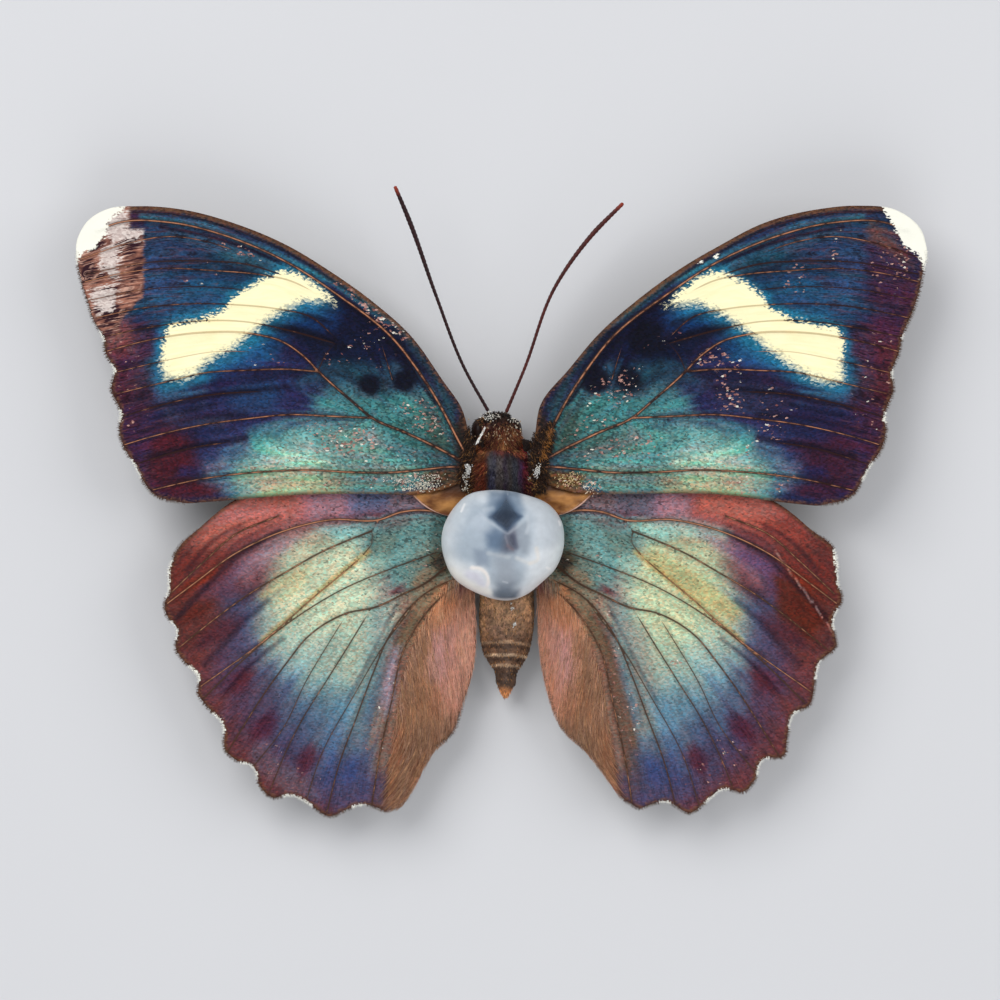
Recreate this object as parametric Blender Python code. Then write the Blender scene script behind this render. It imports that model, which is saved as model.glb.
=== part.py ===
# A dried brush-footed butterfly with its wings spread, and a small glass dome on its back.
# +Z is up, +Y runs to the head and X runs across the wings, so the back of the insect faces up.
# The origin is on the flat of the thorax, on which the specimen lies.

import math

import bmesh
import bpy
import numpy as np
from mathutils import Vector
from mathutils.geometry import delaunay_2d_cdt

MM = 0.001  # every size and place below is in millimetres
GAP = 0.3  # clear space between pieces that touch

# Wings: a sheet with raised veins on its upper face.
WING_THICKNESS = 0.24
VEIN_HEIGHT = 0.16
VEIN_HALF_WIDTH = 0.34
FOREWING_ROOT_Z = 5.5
WING_ROOT_X = 3.0
WING_REACH = 37.0  # from the root to the tip, across
WING_LIFT = 1.5  # how far the wing rises on its way out
TIP_DROOP = 0.7
HINDWING_BELOW = 0.85  # the hindwing runs this far under the forewing
HINDWING_DROOP = 0.5
HINDWING_LENGTH = 30.0
FOLD_DROP = 1.0  # the inner edge of the hindwing bends down beside the abdomen
FOLD_X = 2.4
FOLD_WIDTH = 3.2
FOLD_FROM_Y = -4.0
FOLD_FULL_Y = -11.0

OUTLINE_STEP = 1.0
MARGIN_STEP = 0.7
VEIN_STEP = 2.8
VEIN_END_SPACE = 0.7
VEIN_SAMPLE = 0.1
CARRY_ON = 6.0
FILL_SPACING = 4.0
FILL_CLEARANCE = 1.1

# Each outline runs along the costa to the tip, down the scalloped margin, along the rear edge
# and back across the root.
FOREWING_LEFT = {
    "costa": [
        (-3.05, 5.9), (-3.7, 8.4), (-5.65, 11.35), (-8.55, 15.4), (-12, 18.5), (-16.2, 21.5),
        (-20.1, 23.85), (-24.7, 25.8), (-30.1, 27.25), (-34.2, 27.55), (-37, 27.3), (-38.9, 26.15),
        (-39.9, 24.3), (-40.05, 22.3),
    ],
    "margin": [
        (-40.05, 22.3), (-39.5, 19.9), (-39, 18.4), (-38.5, 16.8), (-37.6, 15.2), (-37.35, 13.7),
        (-36.55, 12.2), (-36.85, 10.4), (-35.95, 8.1), (-36.1, 6.6), (-35.7, 5.0), (-34.6, 3.2),
        (-33.7, 1.5), (-32.8, 0.4), (-31.5, -0.15), (-29.9, -0.36),
    ],
    "rear": [(-29.9, -0.36), (-26.1, -0.07), (-19.9, 0.43), (-12, 0.56), (-8.5, 0.45)],
    "root": [(-8.5, 0.45), (-5.6, 0.95), (-4.1, 1.6), (-3.2, 2.5), (-3.05, 4.1), (-3.05, 5.9)],
}
FOREWING_RIGHT = {
    "costa": [
        (3.05, 5.7), (3.6, 8.9), (6.3, 12.3), (9, 15.5), (13, 19), (17.2, 22), (20.3, 23.8),
        (24.5, 25.95), (29.9, 27.3), (33.4, 27.6), (37.2, 27.1), (39.3, 25.4), (40, 23),
    ],
    "margin": [
        (40, 23), (39.6, 20.9), (39.25, 19.3), (38.75, 17.7), (37.75, 15.35), (37.4, 13.7),
        (36.75, 12), (36.9, 10.5), (36.1, 7.9), (36.2, 6.6), (35.8, 4.8), (34.6, 3.0),
        (33.8, 1.5), (33.2, 0.5), (32, -0.25), (29.9, -0.6),
    ],
    "rear": [(29.9, -0.6), (27, -0.3), (20.1, 0.54), (14.5, 0.6), (8.8, 0.5)],
    "root": [(8.8, 0.5), (5.9, 0.9), (4.3, 1.5), (3.3, 2.4), (3.05, 4), (3.05, 5.7)],
}
HINDWING_LEFT = {
    "costa": [
        (-3.2, -0.2), (-5.4, 1.3), (-10, 2.4), (-16, 2.5), (-21, 1.7), (-25.1, 0), (-28.2, -2.4),
        (-30.6, -4.5), (-31.5, -6.7),
    ],
    "margin": [
        (-31.5, -6.7), (-31.5, -8.6), (-31.9, -9.9), (-31.5, -11.2), (-30.7, -12.1),
        (-30.85, -13.9), (-29.6, -15.7), (-28.7, -16.6), (-28.75, -18.1), (-27.3, -20.1),
        (-26.5, -20.9), (-26.1, -23.7), (-24.8, -24.75), (-23.6, -25.1), (-22.9, -27),
        (-21.8, -28.1), (-19.6, -27.95), (-18.1, -28.8), (-16.2, -29.95), (-14.6, -29.3),
        (-13.3, -28.8), (-11, -29.4),
    ],
    "rear": [
        (-11, -29.4), (-9.7, -29), (-7.9, -26.35), (-6.6, -23.8), (-4.6, -22.1), (-3.5, -18.9),
        (-2.55, -14.8), (-2.45, -11.1),
    ],
    "root": [(-2.45, -11.1), (-2.6, -8.6), (-2.75, -5), (-2.95, -2.2), (-3.2, -0.2)],
}
HINDWING_RIGHT = {
    "costa": [
        (3.5, -0.2), (5.7, 1.2), (10, 2.3), (16, 2.4), (21.5, 1.5), (25.96, -0.36), (29, -2.7),
        (31.3, -4.5), (31.65, -6.3),
    ],
    "margin": [
        (31.65, -6.3), (31.7, -7.8), (32.1, -9.2), (31.25, -11.2), (31.5, -13.9), (29.9, -15.4),
        (29.55, -17.3), (29, -19.4), (27.5, -20.2), (27, -22.3), (26.6, -24.2), (24.5, -24.6),
        (23.9, -26.4), (22.8, -27.6), (20.7, -27.35), (19.3, -28.5), (17.7, -29.6), (15.3, -28.5),
        (13, -29.2),
    ],
    "rear": [
        (13, -29.2), (11.6, -28.5), (9.55, -25.7), (8.2, -23.95), (5.7, -21.6), (4.1, -17.2),
        (3.55, -14.1), (3.4, -11.4),
    ],
    "root": [(3.4, -11.4), (3.3, -8.6), (3.15, -5), (3.25, -2.2), (3.5, -0.2)],
}

# Veins of the left wings, from the root outwards. The right wings take the same ones mirrored.
# All but the one that closes the cell are carried on to the margin.
CELL_END = "cell_end"
FOREWING_VEINS = {
    "radius": [
        (-4.0, 5.4), (-6, 9.2), (-8.0, 12.3), (-10.2, 15.1), (-15.5, 19.3), (-20, 22.2),
        (-26, 24.8), (-31, 26), (-35, 26),
    ],
    "radius_fork": [(-24.5, 22.6), (-31, 24.5), (-36, 23.9)],
    "upper_media": [(-18, 19.3), (-22, 20.7), (-28, 21.5), (-33, 21.3)],
    "middle_media": [(-15.4, 15), (-18, 17.2), (-24, 18.2), (-29, 18.4), (-33, 18)],
    "cubitus": [
        (-4.6, 4.2), (-9, 6.3), (-12.2, 7.7), (-14, 9.2), (-17.2, 12.05), (-19.3, 14),
        (-23.5, 15.5), (-28, 15.7), (-33.5, 14.6),
    ],
    "upper_branch": [(-17.4, 12.05), (-24, 12.1), (-30, 11.2), (-33, 10.5)],
    "lower_branch": [(-12.4, 7.7), (-20, 7.9), (-28, 6.9), (-34, 5.6)],
    "anal": [(-4.2, 3.1), (-10, 2.6), (-20, 2.75), (-26, 2.3), (-31.5, 1.1)],
    CELL_END: [(-10.2, 15.1), (-12.6, 14.6), (-15.4, 15), (-16.6, 13.5), (-17.2, 12.2)],
}
HINDWING_VEINS = {
    "radius": [(-5.5, -1.4), (-10, -1.5), (-15, -1.7), (-20, -2.5), (-25, -5), (-29, -8)],
    "upper_media": [(-8.5, -2.2), (-14, -3.5), (-20, -6.2), (-25.5, -9.5), (-29, -12.5)],
    "middle_media": [(-5.2, -4.6), (-10, -6.1), (-15, -8.2), (-20, -11.3), (-25, -15)],
    "cubitus": [
        (-4.9, -6), (-10, -9), (-14.5, -10.5), (-19, -13.8), (-22.5, -18.5), (-24, -21.5),
    ],
    "cubitus_branch": [(-10.2, -9.2), (-14, -13), (-18, -19.8), (-20, -24)],
    "upper_anal": [(-4.2, -7.2), (-8.2, -12), (-12.5, -19), (-15, -25.5)],
    "lower_anal": [(-3.9, -8), (-7, -14), (-10.2, -21), (-11.8, -26.5)],
}

# The body, as cross-sections from front to rear: y, middle, half width, top and bottom.
THORAX_SECTIONS = [
    (4.95, -0.35, 1.4, 5.5, 1.4), (4.5, -0.3, 2.1, 6.05, 0.5), (3.4, -0.15, 2.7, 6.65, -0.3),
    (1.9, 0, 2.85, 6.9, -0.5), (0.4, 0.1, 2.85, 6.75, -0.5), (-1.2, 0.2, 2.65, 6.3, -0.4),
    (-2.6, 0.25, 2.3, 5.8, 0), (-3.6, 0.3, 1.95, 5.35, 0.5), (-4, 0.3, 1.5, 4.9, 1),
]
ABDOMEN_SECTIONS = [
    (-4.35, 0.3, 1.3, 4.75, 1.1), (-5.1, 0.35, 1.95, 5.15, 0.3), (-7, 0.4, 2.35, 5.35, -0.25),
    (-9.5, 0.45, 2.5, 5.25, -0.35), (-12.6, 0.4, 2.42, 4.9, -0.3), (-14.2, 0.38, 2.12, 4.6, 0),
    (-15.1, 0.4, 1.7, 4.3, 0.3), (-15.8, 0.4, 1.15, 3.9, 0.7), (-16.4, 0.36, 0.92, 3.6, 0.9),
    (-17, 0.38, 1.02, 3.4, 1), (-17.8, 0.35, 0.62, 2.9, 1.3), (-18.7, 0.32, 0.15, 2.3, 1.8),
]
HEAD_SECTIONS = [
    (8.05, -0.5, 0.5, 5.2, 4), (7.75, -0.5, 1.35, 6, 3), (7, -0.5, 1.95, 6.55, 2.55),
    (6.2, -0.45, 1.95, 6.5, 2.6), (5.6, -0.4, 1.4, 6, 3), (5.3, -0.4, 0.9, 5.4, 3.6),
]
THORAX_ROUNDNESS = 2.3
ABDOMEN_ROUNDNESS = 2.1
HEAD_ROUNDNESS = 2.2
BODY_SIDES = 20
HEAD_SIDES = 16
THORAX_RINGS = 15
ABDOMEN_RINGS = 25
HEAD_RINGS = 9
ABDOMEN_SEGMENTS = [-5.3, -7.1, -8.9, -10.6, -12.1, -13.4, -14.7, -15.6]
SEGMENT_STEP = 0.14  # how far each ring of the abdomen stands over the next one

EYE_CENTRE = (1.65, 6.55, 4.5)  # from the middle of the head
EYE_RADII = (0.78, 1.2, 1.45)
HEAD_X = -0.5
PALP_PATH = [(0.85, 6.9, 2.1), (0.9, 7.5, 2.1), (0.88, 7.95, 2.5), (0.8, 8.2, 3)]
PALP_RADII = [0.25, 0.33, 0.3, 0.15]
TONGUE_CENTRE = (-0.5, 7.2, 1.35)
TONGUE_TURNS = 1.6
TONGUE_RADIUS = 0.85
TONGUE_INNER_RADIUS = 0.28
TONGUE_TUBE = 0.14
TONGUE_POINTS = 18

ANTENNA_LEFT = [
    (-1.3, 8.35, 5.9), (-3.5, 12.3, 6.4), (-6.2, 19.2, 7), (-8.7, 26.2, 7.3), (-10, 29.3, 7.4),
]
ANTENNA_RIGHT = [
    (0.4, 8.25, 5.9), (2.1, 12.3, 6.4), (5, 20, 7), (8.4, 24.8, 7.2), (11.3, 27.75, 7.3),
]
ANTENNA_RADII = [0.17, 0.14, 0.15, 0.26, 0.2]

# Legs of the left side: the path from the body to the foot, and the radii along it.
LEG_PATHS = {
    "front_leg": [(-1.1, 5.25, 0.95), (-1.4, 6, 0.8), (-1.3, 6.7, 0.8), (-1.15, 7.3, 0.9)],
    "middle_leg": [
        (-3.15, 1.9, 1.3), (-5, 2.9, 1.35), (-6.6, 3.5, 0.95), (-5.9, 1.8, 0.75),
        (-4.7, -0.3, 0.5), (-4.2, -2.6, 0.27), (-4, -4.6, 0.24),
    ],
    "hind_leg": [
        (-2.9, -1.7, 1.5), (-4.8, -2.5, 1.45), (-6.4, -3.4, 1), (-5.6, -5.3, 0.75),
        (-4.5, -7.4, 0.5), (-3.7, -10, 0.27), (-3.5, -12, 0.24),
    ],
}
LEG_RADII = {
    "front_leg": [0.24, 0.27, 0.24, 0.15],
    "middle_leg": [0.36, 0.42, 0.34, 0.27, 0.24, 0.2, 0.16],
    "hind_leg": [0.36, 0.42, 0.34, 0.27, 0.24, 0.2, 0.16],
}
LEG_STEP = 0.75

# The dome: its outline as seen from above, and its profile from the rim of its base to its top.
DOME_CENTRE = (0.05, -4.15)
DOME_OUTLINE = [
    (-0.9, 1.05), (1, 0.97), (2.7, 0.5), (4.3, -0.1), (5.5, -1.5), (5.9, -3.55), (5.1, -6.4),
    (3.9, -7.45), (1.85, -9.1), (0.6, -9.35), (-2.25, -8.7), (-4.7, -7.1), (-5.7, -3.95),
    (-5, -1.3), (-3.3, 0.65),
]
DOME_PROFILE = [
    (0.86, 0), (0.94, 0.14), (0.985, 0.5), (1, 1), (0.98, 1.7), (0.93, 2.5), (0.84, 3.3),
    (0.7, 4.05), (0.5, 4.65), (0.26, 5),
]
DOME_TOP = 5.1
DOME_BASE_Z = 6.62  # under the middle of the dome
DOME_TILT = math.radians(6.2)  # the rear edge is lower, on the abdomen
DOME_SIDES = 36


def smooth_curve(points, step=None, count=None):
    # Samples a smooth curve that passes through the points, evenly or with the count given.
    knots = np.array(points, dtype=float)
    spans = np.linalg.norm(np.diff(knots, axis=0), axis=1)
    times = np.concatenate(([0.0], np.cumsum(spans)))
    slopes = np.gradient(knots, times, axis=0)
    if count is None:
        count = max(2, round(times[-1] / step) + 1)
    samples = np.linspace(0, times[-1], count)
    index = np.clip(np.searchsorted(times, samples, side="right") - 1, 0, len(spans) - 1)
    span = spans[index][:, None]
    t = (samples - times[index])[:, None] / span
    start = (2 * t**3 - 3 * t**2 + 1) * knots[index]
    start_slope = (t**3 - 2 * t**2 + t) * span * slopes[index]
    end = (3 * t**2 - 2 * t**3) * knots[index + 1]
    end_slope = (t**3 - t**2) * span * slopes[index + 1]
    return start + start_slope + end + end_slope


def closed_curve(points, count):
    # A smooth closed curve: the list is wrapped round by a few points at each end.
    wrap = 3
    looped = points[-wrap:] + points + points[: wrap + 1]
    knots = np.array(looped, dtype=float)
    lengths = np.concatenate(([0.0], np.cumsum(np.linalg.norm(np.diff(knots, axis=0), axis=1))))
    fine = smooth_curve(looped, count=2000)
    along = np.linspace(0, lengths[-1], len(fine))
    wanted = np.linspace(lengths[wrap], lengths[wrap + len(points)], count, endpoint=False)
    return np.column_stack([np.interp(wanted, along, fine[:, axis]) for axis in range(2)])


def wing_outline(stretches):
    loops = []
    for name, points in stretches.items():
        step = MARGIN_STEP if name == "margin" else OUTLINE_STEP
        loops.append(smooth_curve(points, step)[:-1])
    outline = np.vstack(loops)
    following = np.roll(outline, -1, axis=0)
    area = np.sum(outline[:, 0] * following[:, 1] - following[:, 0] * outline[:, 1])
    return outline if area > 0 else outline[::-1]


def distance_to_lines(points, lines):
    # The distance from each point to the nearest segment of any of the lines.
    nearest = np.full(len(points), np.inf)
    for line in lines:
        for a, b in zip(line[:-1], line[1:]):
            along = b - a
            share = np.clip((points - a) @ along / (along @ along), 0, 1)
            gaps = np.linalg.norm(points - (a + share[:, None] * along), axis=1)
            nearest = np.minimum(nearest, gaps)
    return nearest


def is_inside(points, outline):
    inside = np.zeros(len(points), dtype=bool)
    for a, b in zip(outline, np.roll(outline, -1, axis=0)):
        spans = (a[1] > points[:, 1]) != (b[1] > points[:, 1])
        rise = b[1] - a[1] if b[1] != a[1] else 1.0
        crossing = a[0] + (points[:, 1] - a[1]) * (b[0] - a[0]) / rise
        inside ^= spans & (points[:, 0] < crossing)
    return inside


def forewing_height(x, y):
    out = np.clip((np.abs(x) - WING_ROOT_X) / WING_REACH, 0, 1)
    return FOREWING_ROOT_Z + WING_LIFT * out * (1.6 - out) - TIP_DROOP * out**4


def hindwing_height(x, y):
    back = np.clip(-y / HINDWING_LENGTH, 0, 1)
    sheet = forewing_height(x, y) - HINDWING_BELOW - HINDWING_DROOP * back**2
    along = np.clip((y - FOLD_FROM_Y) / (FOLD_FULL_Y - FOLD_FROM_Y), 0, 1)
    across = np.exp(-(((np.abs(x) - FOLD_X) / FOLD_WIDTH) ** 2))
    return sheet - FOLD_DROP * along * across


def vein_lines(veins, outline):
    # A vein that reaches the margin is carried on past its last point and stops just short of it.
    border = [np.vstack((outline, outline[:1]))]
    lines = []
    for name, vein in veins.items():
        fine = smooth_curve(vein, step=VEIN_SAMPLE)
        if name != CELL_END:
            last = np.array(vein[-1], dtype=float)
            before = np.array(vein[-2], dtype=float)
            onward = last + CARRY_ON * (last - before) / np.linalg.norm(last - before)
            fine = smooth_curve(vein + [tuple(onward)], step=VEIN_SAMPLE)
            fine = fine[is_inside(fine, outline)]
            fine = fine[distance_to_lines(fine, border) > VEIN_END_SPACE]
        count = max(2, round(len(fine) * VEIN_SAMPLE / VEIN_STEP) + 1)
        lines.append(fine[np.linspace(0, len(fine) - 1, count).astype(int)])
    return lines


def across(line):
    # Unit vectors square to a line at each of its points.
    along = np.gradient(line, axis=0)
    along /= np.linalg.norm(along, axis=1)[:, None]
    return np.column_stack((-along[:, 1], along[:, 0]))


def spread_points(taken, outline, spacing, clearance):
    # Points in staggered rows inside the outline, clear of the points that are already there.
    low = outline.min(axis=0)
    high = outline.max(axis=0)
    rows = []
    for number, y in enumerate(np.arange(low[1], high[1], spacing * math.sqrt(3) / 2)):
        x = np.arange(low[0] + (number % 2) * spacing / 2, high[0], spacing)
        rows.append(np.column_stack((x, np.full(len(x), y))))
    points = np.vstack(rows)
    points = points[is_inside(points, outline)]
    far = np.linalg.norm(points[:, None] - taken[None], axis=2).min(axis=1) > clearance
    return points[far]


def triangulated(outline, inner, edges):
    # The triangles of a flat sheet. The first points are the outline's, in order.
    points = [Vector(p) for p in np.vstack((outline, inner))]
    count = len(outline)
    border = [(i, (i + 1) % count) for i in range(count)]
    made = delaunay_2d_cdt(points, border + edges, [], 0, 1e-5, True)
    places = np.array([tuple(p) for p in made[0]])
    faces = np.array(made[2])
    faces = faces[is_inside(places[faces].mean(axis=1), outline)]
    first = {source: new for new, sources in enumerate(made[3]) for source in sources}
    return places, faces, [first[i] for i in range(count)]


def finished(name, bm, colour, roughness, metallic=0.0, transmission=0.0):
    bmesh.ops.recalc_face_normals(bm, faces=bm.faces)
    mesh = bpy.data.meshes.new(name)
    bm.to_mesh(mesh)
    bm.free()
    mesh.shade_smooth()
    mesh.set_sharp_from_angle(angle=math.radians(40))
    material = bpy.data.materials.new(name)
    material.use_nodes = True
    shader = material.node_tree.nodes["Principled BSDF"]
    shader.inputs["Base Color"].default_value = (*colour, 1)
    shader.inputs["Roughness"].default_value = roughness
    shader.inputs["Metallic"].default_value = metallic
    shader.inputs["Transmission Weight"].default_value = transmission
    mesh.materials.append(material)
    piece = bpy.data.objects.new(name, mesh)
    bpy.context.scene.collection.objects.link(piece)
    return piece


def make_wing(name, stretches, veins, height, colour):
    outline = wing_outline(stretches)
    lines = vein_lines(veins, outline)
    crests = np.vstack(lines)
    feet = [line + side * VEIN_HALF_WIDTH * across(line) for line in lines for side in (-1, 1)]
    feet = np.vstack(feet)
    feet = feet[distance_to_lines(feet, lines) > 0.8 * VEIN_HALF_WIDTH]
    fill = spread_points(np.vstack((outline, crests)), outline, FILL_SPACING, FILL_CLEARANCE)
    below = spread_points(outline, outline, FILL_SPACING, FILL_CLEARANCE)

    edges = []
    start = len(outline)
    for line in lines:
        edges += [(start + i, start + i + 1) for i in range(len(line) - 1)]
        start += len(line)

    bm = bmesh.new()
    rims = []
    for side, inner, ties in ((1, np.vstack((crests, feet, fill)), edges), (-1, below, [])):
        places, faces, rim = triangulated(outline, inner, ties)
        z = height(places[:, 0], places[:, 1]) + side * WING_THICKNESS / 2
        if side == 1:
            ridge = 1 - distance_to_lines(places, lines) / VEIN_HALF_WIDTH
            z += VEIN_HEIGHT * np.clip(ridge, 0, 1)
        verts = [bm.verts.new((x * MM, y * MM, up * MM)) for (x, y), up in zip(places, z)]
        for face in faces:
            corners = [verts[i] for i in face]
            bm.faces.new(corners if side == 1 else corners[::-1])
        rims.append([verts[i] for i in rim])
    top, bottom = rims
    for i in range(len(top)):
        j = (i + 1) % len(top)
        bm.faces.new((top[i], bottom[i], bottom[j], top[j]))
    return finished(name, bm, colour, 0.5)


def mirrored(points):
    return [(-x, *rest) for x, *rest in points]


def rings_to_mesh(rings, tips=(None, None)):
    # Joins rings of points, each with the same count, and closes both ends, at a tip if one is given.
    bm = bmesh.new()
    made = [[bm.verts.new(Vector(p) * MM) for p in ring] for ring in rings]
    count = len(made[0])
    for ring, after in zip(made[:-1], made[1:]):
        for i in range(count):
            j = (i + 1) % count
            bm.faces.new((ring[i], ring[j], after[j], after[i]))
    for ring, tip in ((made[0], tips[0]), (made[-1], tips[1])):
        if tip is None:
            bm.faces.new(ring)
        else:
            centre = bm.verts.new(Vector(tip) * MM)
            for i in range(count):
                bm.faces.new((ring[i], ring[(i + 1) % count], centre))
    return bm


def body_rings(sections, rings, sides, roundness, extra=None):
    table = smooth_curve(sections, count=rings)
    loops = []
    for y, middle, half_width, top, bottom in table:
        if extra is not None:
            swell = extra(y)
            half_width += swell
            top += swell
            bottom -= swell
        loop = []
        for i in range(sides):
            angle = 2 * math.pi * (i + 0.5) / sides
            c, s = math.cos(angle), math.sin(angle)
            x = middle + half_width * math.copysign(abs(c) ** (2 / roundness), c)
            up = math.copysign(abs(s) ** (2 / roundness), s)
            loop.append((x, y, (top + bottom) / 2 + up * (top - bottom) / 2))
        loops.append(loop)
    return loops


def flat_underneath(bm):
    # Cuts the body off level with the surface it lies on.
    parts = bm.verts[:] + bm.edges[:] + bm.faces[:]
    cut = bmesh.ops.bisect_plane(
        bm, geom=parts, dist=1e-7, plane_co=(0, 0, 0), plane_no=(0, 0, -1), clear_outer=True
    )
    rim = [part for part in cut["geom_cut"] if isinstance(part, bmesh.types.BMEdge)]
    bmesh.ops.contextual_create(bm, geom=rim)


def tube_rings(path, radii, step, sides):
    # Round sections along a smooth path, and the two points where it ends.
    points = smooth_curve(path, step)
    knots = np.array(path, dtype=float)
    lengths = np.concatenate(([0.0], np.cumsum(np.linalg.norm(np.diff(knots, axis=0), axis=1))))
    thickness = np.interp(np.linspace(0, lengths[-1], len(points)), lengths, radii)
    along = np.gradient(points, axis=0)
    along /= np.linalg.norm(along, axis=1)[:, None]
    sideways = np.cross(along[0], (0, 0, 1))
    sideways /= np.linalg.norm(sideways)
    rings = []
    for point, forward, radius in zip(points, along, thickness):
        sideways = sideways - (sideways @ forward) * forward
        sideways /= np.linalg.norm(sideways)
        upward = np.cross(sideways, forward)
        ring = []
        for i in range(sides):
            angle = 2 * math.pi * i / sides
            ring.append(point + radius * (math.cos(angle) * sideways + math.sin(angle) * upward))
        rings.append(ring)
    tips = (points[0] - 0.5 * thickness[0] * along[0], points[-1] + 0.6 * thickness[-1] * along[-1])
    return rings, tips


def make_tube(name, path, radii, step, sides, colour, roughness):
    rings, tips = tube_rings(path, radii, step, sides)
    return finished(name, rings_to_mesh(rings, tips), colour, roughness)


def ellipsoid(centre, radii, rings, sides):
    bm = bmesh.new()
    bmesh.ops.create_uvsphere(bm, u_segments=sides, v_segments=rings, radius=1)
    for vert in bm.verts:
        vert.co = Vector([(c + r * p) * MM for c, r, p in zip(centre, radii, vert.co)])
    return bm


def segment_swell(y):
    # Each ring of the abdomen swells towards its rear edge and steps in to the next one.
    swell = 0.0
    for front, rear in zip(ABDOMEN_SEGMENTS[:-1], ABDOMEN_SEGMENTS[1:]):
        if rear < y <= front:
            swell = SEGMENT_STEP * (front - y) / (front - rear)
    return swell


def make_thorax():
    rings = body_rings(THORAX_SECTIONS, THORAX_RINGS, BODY_SIDES, THORAX_ROUNDNESS)
    bm = rings_to_mesh(rings)
    flat_underneath(bm)
    return finished("thorax", bm, (0.1, 0.045, 0.04), 0.6)


def make_abdomen():
    rings = body_rings(
        ABDOMEN_SECTIONS, ABDOMEN_RINGS, BODY_SIDES, ABDOMEN_ROUNDNESS, segment_swell
    )
    bm = rings_to_mesh(rings)
    flat_underneath(bm)
    return finished("abdomen", bm, (0.11, 0.07, 0.05), 0.65)


def make_head_and_eyes():
    rings = body_rings(HEAD_SECTIONS, HEAD_RINGS, HEAD_SIDES, HEAD_ROUNDNESS)
    head = finished("head", rings_to_mesh(rings), (0.08, 0.05, 0.04), 0.6)
    for side, name in ((-1, "eye_left"), (1, "eye_right")):
        centre = (HEAD_X + side * EYE_CENTRE[0], EYE_CENTRE[1], EYE_CENTRE[2])
        finished(name, ellipsoid(centre, EYE_RADII, 8, 12), (0.03, 0.012, 0.01), 0.15)
        roomy = [radius + GAP for radius in EYE_RADII]
        socket = finished("socket_" + name, ellipsoid(centre, roomy, 8, 12), (0.1, 0.1, 0.1), 0.5)
        socket.hide_render = True
        socket.display_type = "WIRE"
        cut = head.modifiers.new("socket_" + name, "BOOLEAN")
        cut.operation = "DIFFERENCE"
        cut.object = socket


def make_mouthparts():
    for side, name in ((-1, "palp_left"), (1, "palp_right")):
        path = [(HEAD_X + side * x, y, z) for x, y, z in PALP_PATH]
        make_tube(name, path, PALP_RADII, 0.45, 8, (0.1, 0.07, 0.05), 0.7)
    coil = []
    for i in range(TONGUE_POINTS + 1):
        share = i / TONGUE_POINTS
        radius = TONGUE_RADIUS + share * (TONGUE_INNER_RADIUS - TONGUE_RADIUS)
        angle = math.pi / 2 - 2 * math.pi * TONGUE_TURNS * share
        x, y, z = TONGUE_CENTRE
        coil.append((x, y + radius * math.cos(angle), z + radius * math.sin(angle)))
    make_tube("proboscis", coil, [TONGUE_TUBE] * len(coil), 0.32, 6, (0.05, 0.025, 0.015), 0.35)


def make_antennae():
    colour = (0.045, 0.02, 0.02)
    make_tube("antenna_left", ANTENNA_LEFT, ANTENNA_RADII, 1.6, 7, colour, 0.45)
    make_tube("antenna_right", ANTENNA_RIGHT, ANTENNA_RADII, 1.6, 7, (0.07, 0.025, 0.02), 0.45)


def make_legs():
    for kind, path in LEG_PATHS.items():
        for side, points in (("left", path), ("right", mirrored(path))):
            radii = LEG_RADII[kind]
            make_tube(f"{kind}_{side}", points, radii, LEG_STEP, 8, (0.09, 0.055, 0.035), 0.5)


def dome_lumps(angle, level):
    # The glass is a little uneven: shallow facets run round its shoulder.
    return 1 + 0.012 * math.sin(3 * angle + 0.6) * level + 0.008 * math.sin(7 * angle) * level


def make_dome():
    outline = closed_curve(DOME_OUTLINE, DOME_SIDES)
    cx, cy = DOME_CENTRE
    lean = math.sin(DOME_TILT)
    upright = math.cos(DOME_TILT)
    rings = []
    for share, level in DOME_PROFILE:
        ring = []
        for x, y in outline:
            angle = math.atan2(y - cy, x - cx)
            reach = share * dome_lumps(angle, level / DOME_TOP)
            across_x = (x - cx) * reach
            across_y = (y - cy) * reach
            up = DOME_BASE_Z + level * upright + across_y * lean
            ring.append((cx + across_x, cy + across_y * upright - level * lean, up))
        rings.append(ring)
    top = (cx, cy - DOME_TOP * lean, DOME_BASE_Z + DOME_TOP * upright)
    bottom = (cx, cy, DOME_BASE_Z)
    bm = rings_to_mesh(rings, (bottom, top))
    return finished("glass_dome", bm, (0.62, 0.72, 0.82), 0.08, transmission=0.7)


def clear_scene():
    for old in list(bpy.data.objects):
        bpy.data.objects.remove(old, do_unlink=True)


def main():
    clear_scene()
    fore_veins_right = {name: mirrored(vein) for name, vein in FOREWING_VEINS.items()}
    hind_veins_right = {name: mirrored(vein) for name, vein in HINDWING_VEINS.items()}
    teal = (0.03, 0.12, 0.16)
    green = (0.12, 0.2, 0.17)
    make_wing("forewing_left", FOREWING_LEFT, FOREWING_VEINS, forewing_height, teal)
    make_wing("forewing_right", FOREWING_RIGHT, fore_veins_right, forewing_height, teal)
    make_wing("hindwing_left", HINDWING_LEFT, HINDWING_VEINS, hindwing_height, green)
    make_wing("hindwing_right", HINDWING_RIGHT, hind_veins_right, hindwing_height, green)
    make_thorax()
    make_abdomen()
    make_head_and_eyes()
    make_mouthparts()
    make_antennae()
    make_legs()
    make_dome()


main()
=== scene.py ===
import math

import bmesh
import bpy
import numpy as np
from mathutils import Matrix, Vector
from mathutils.geometry import delaunay_2d_cdt


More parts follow.
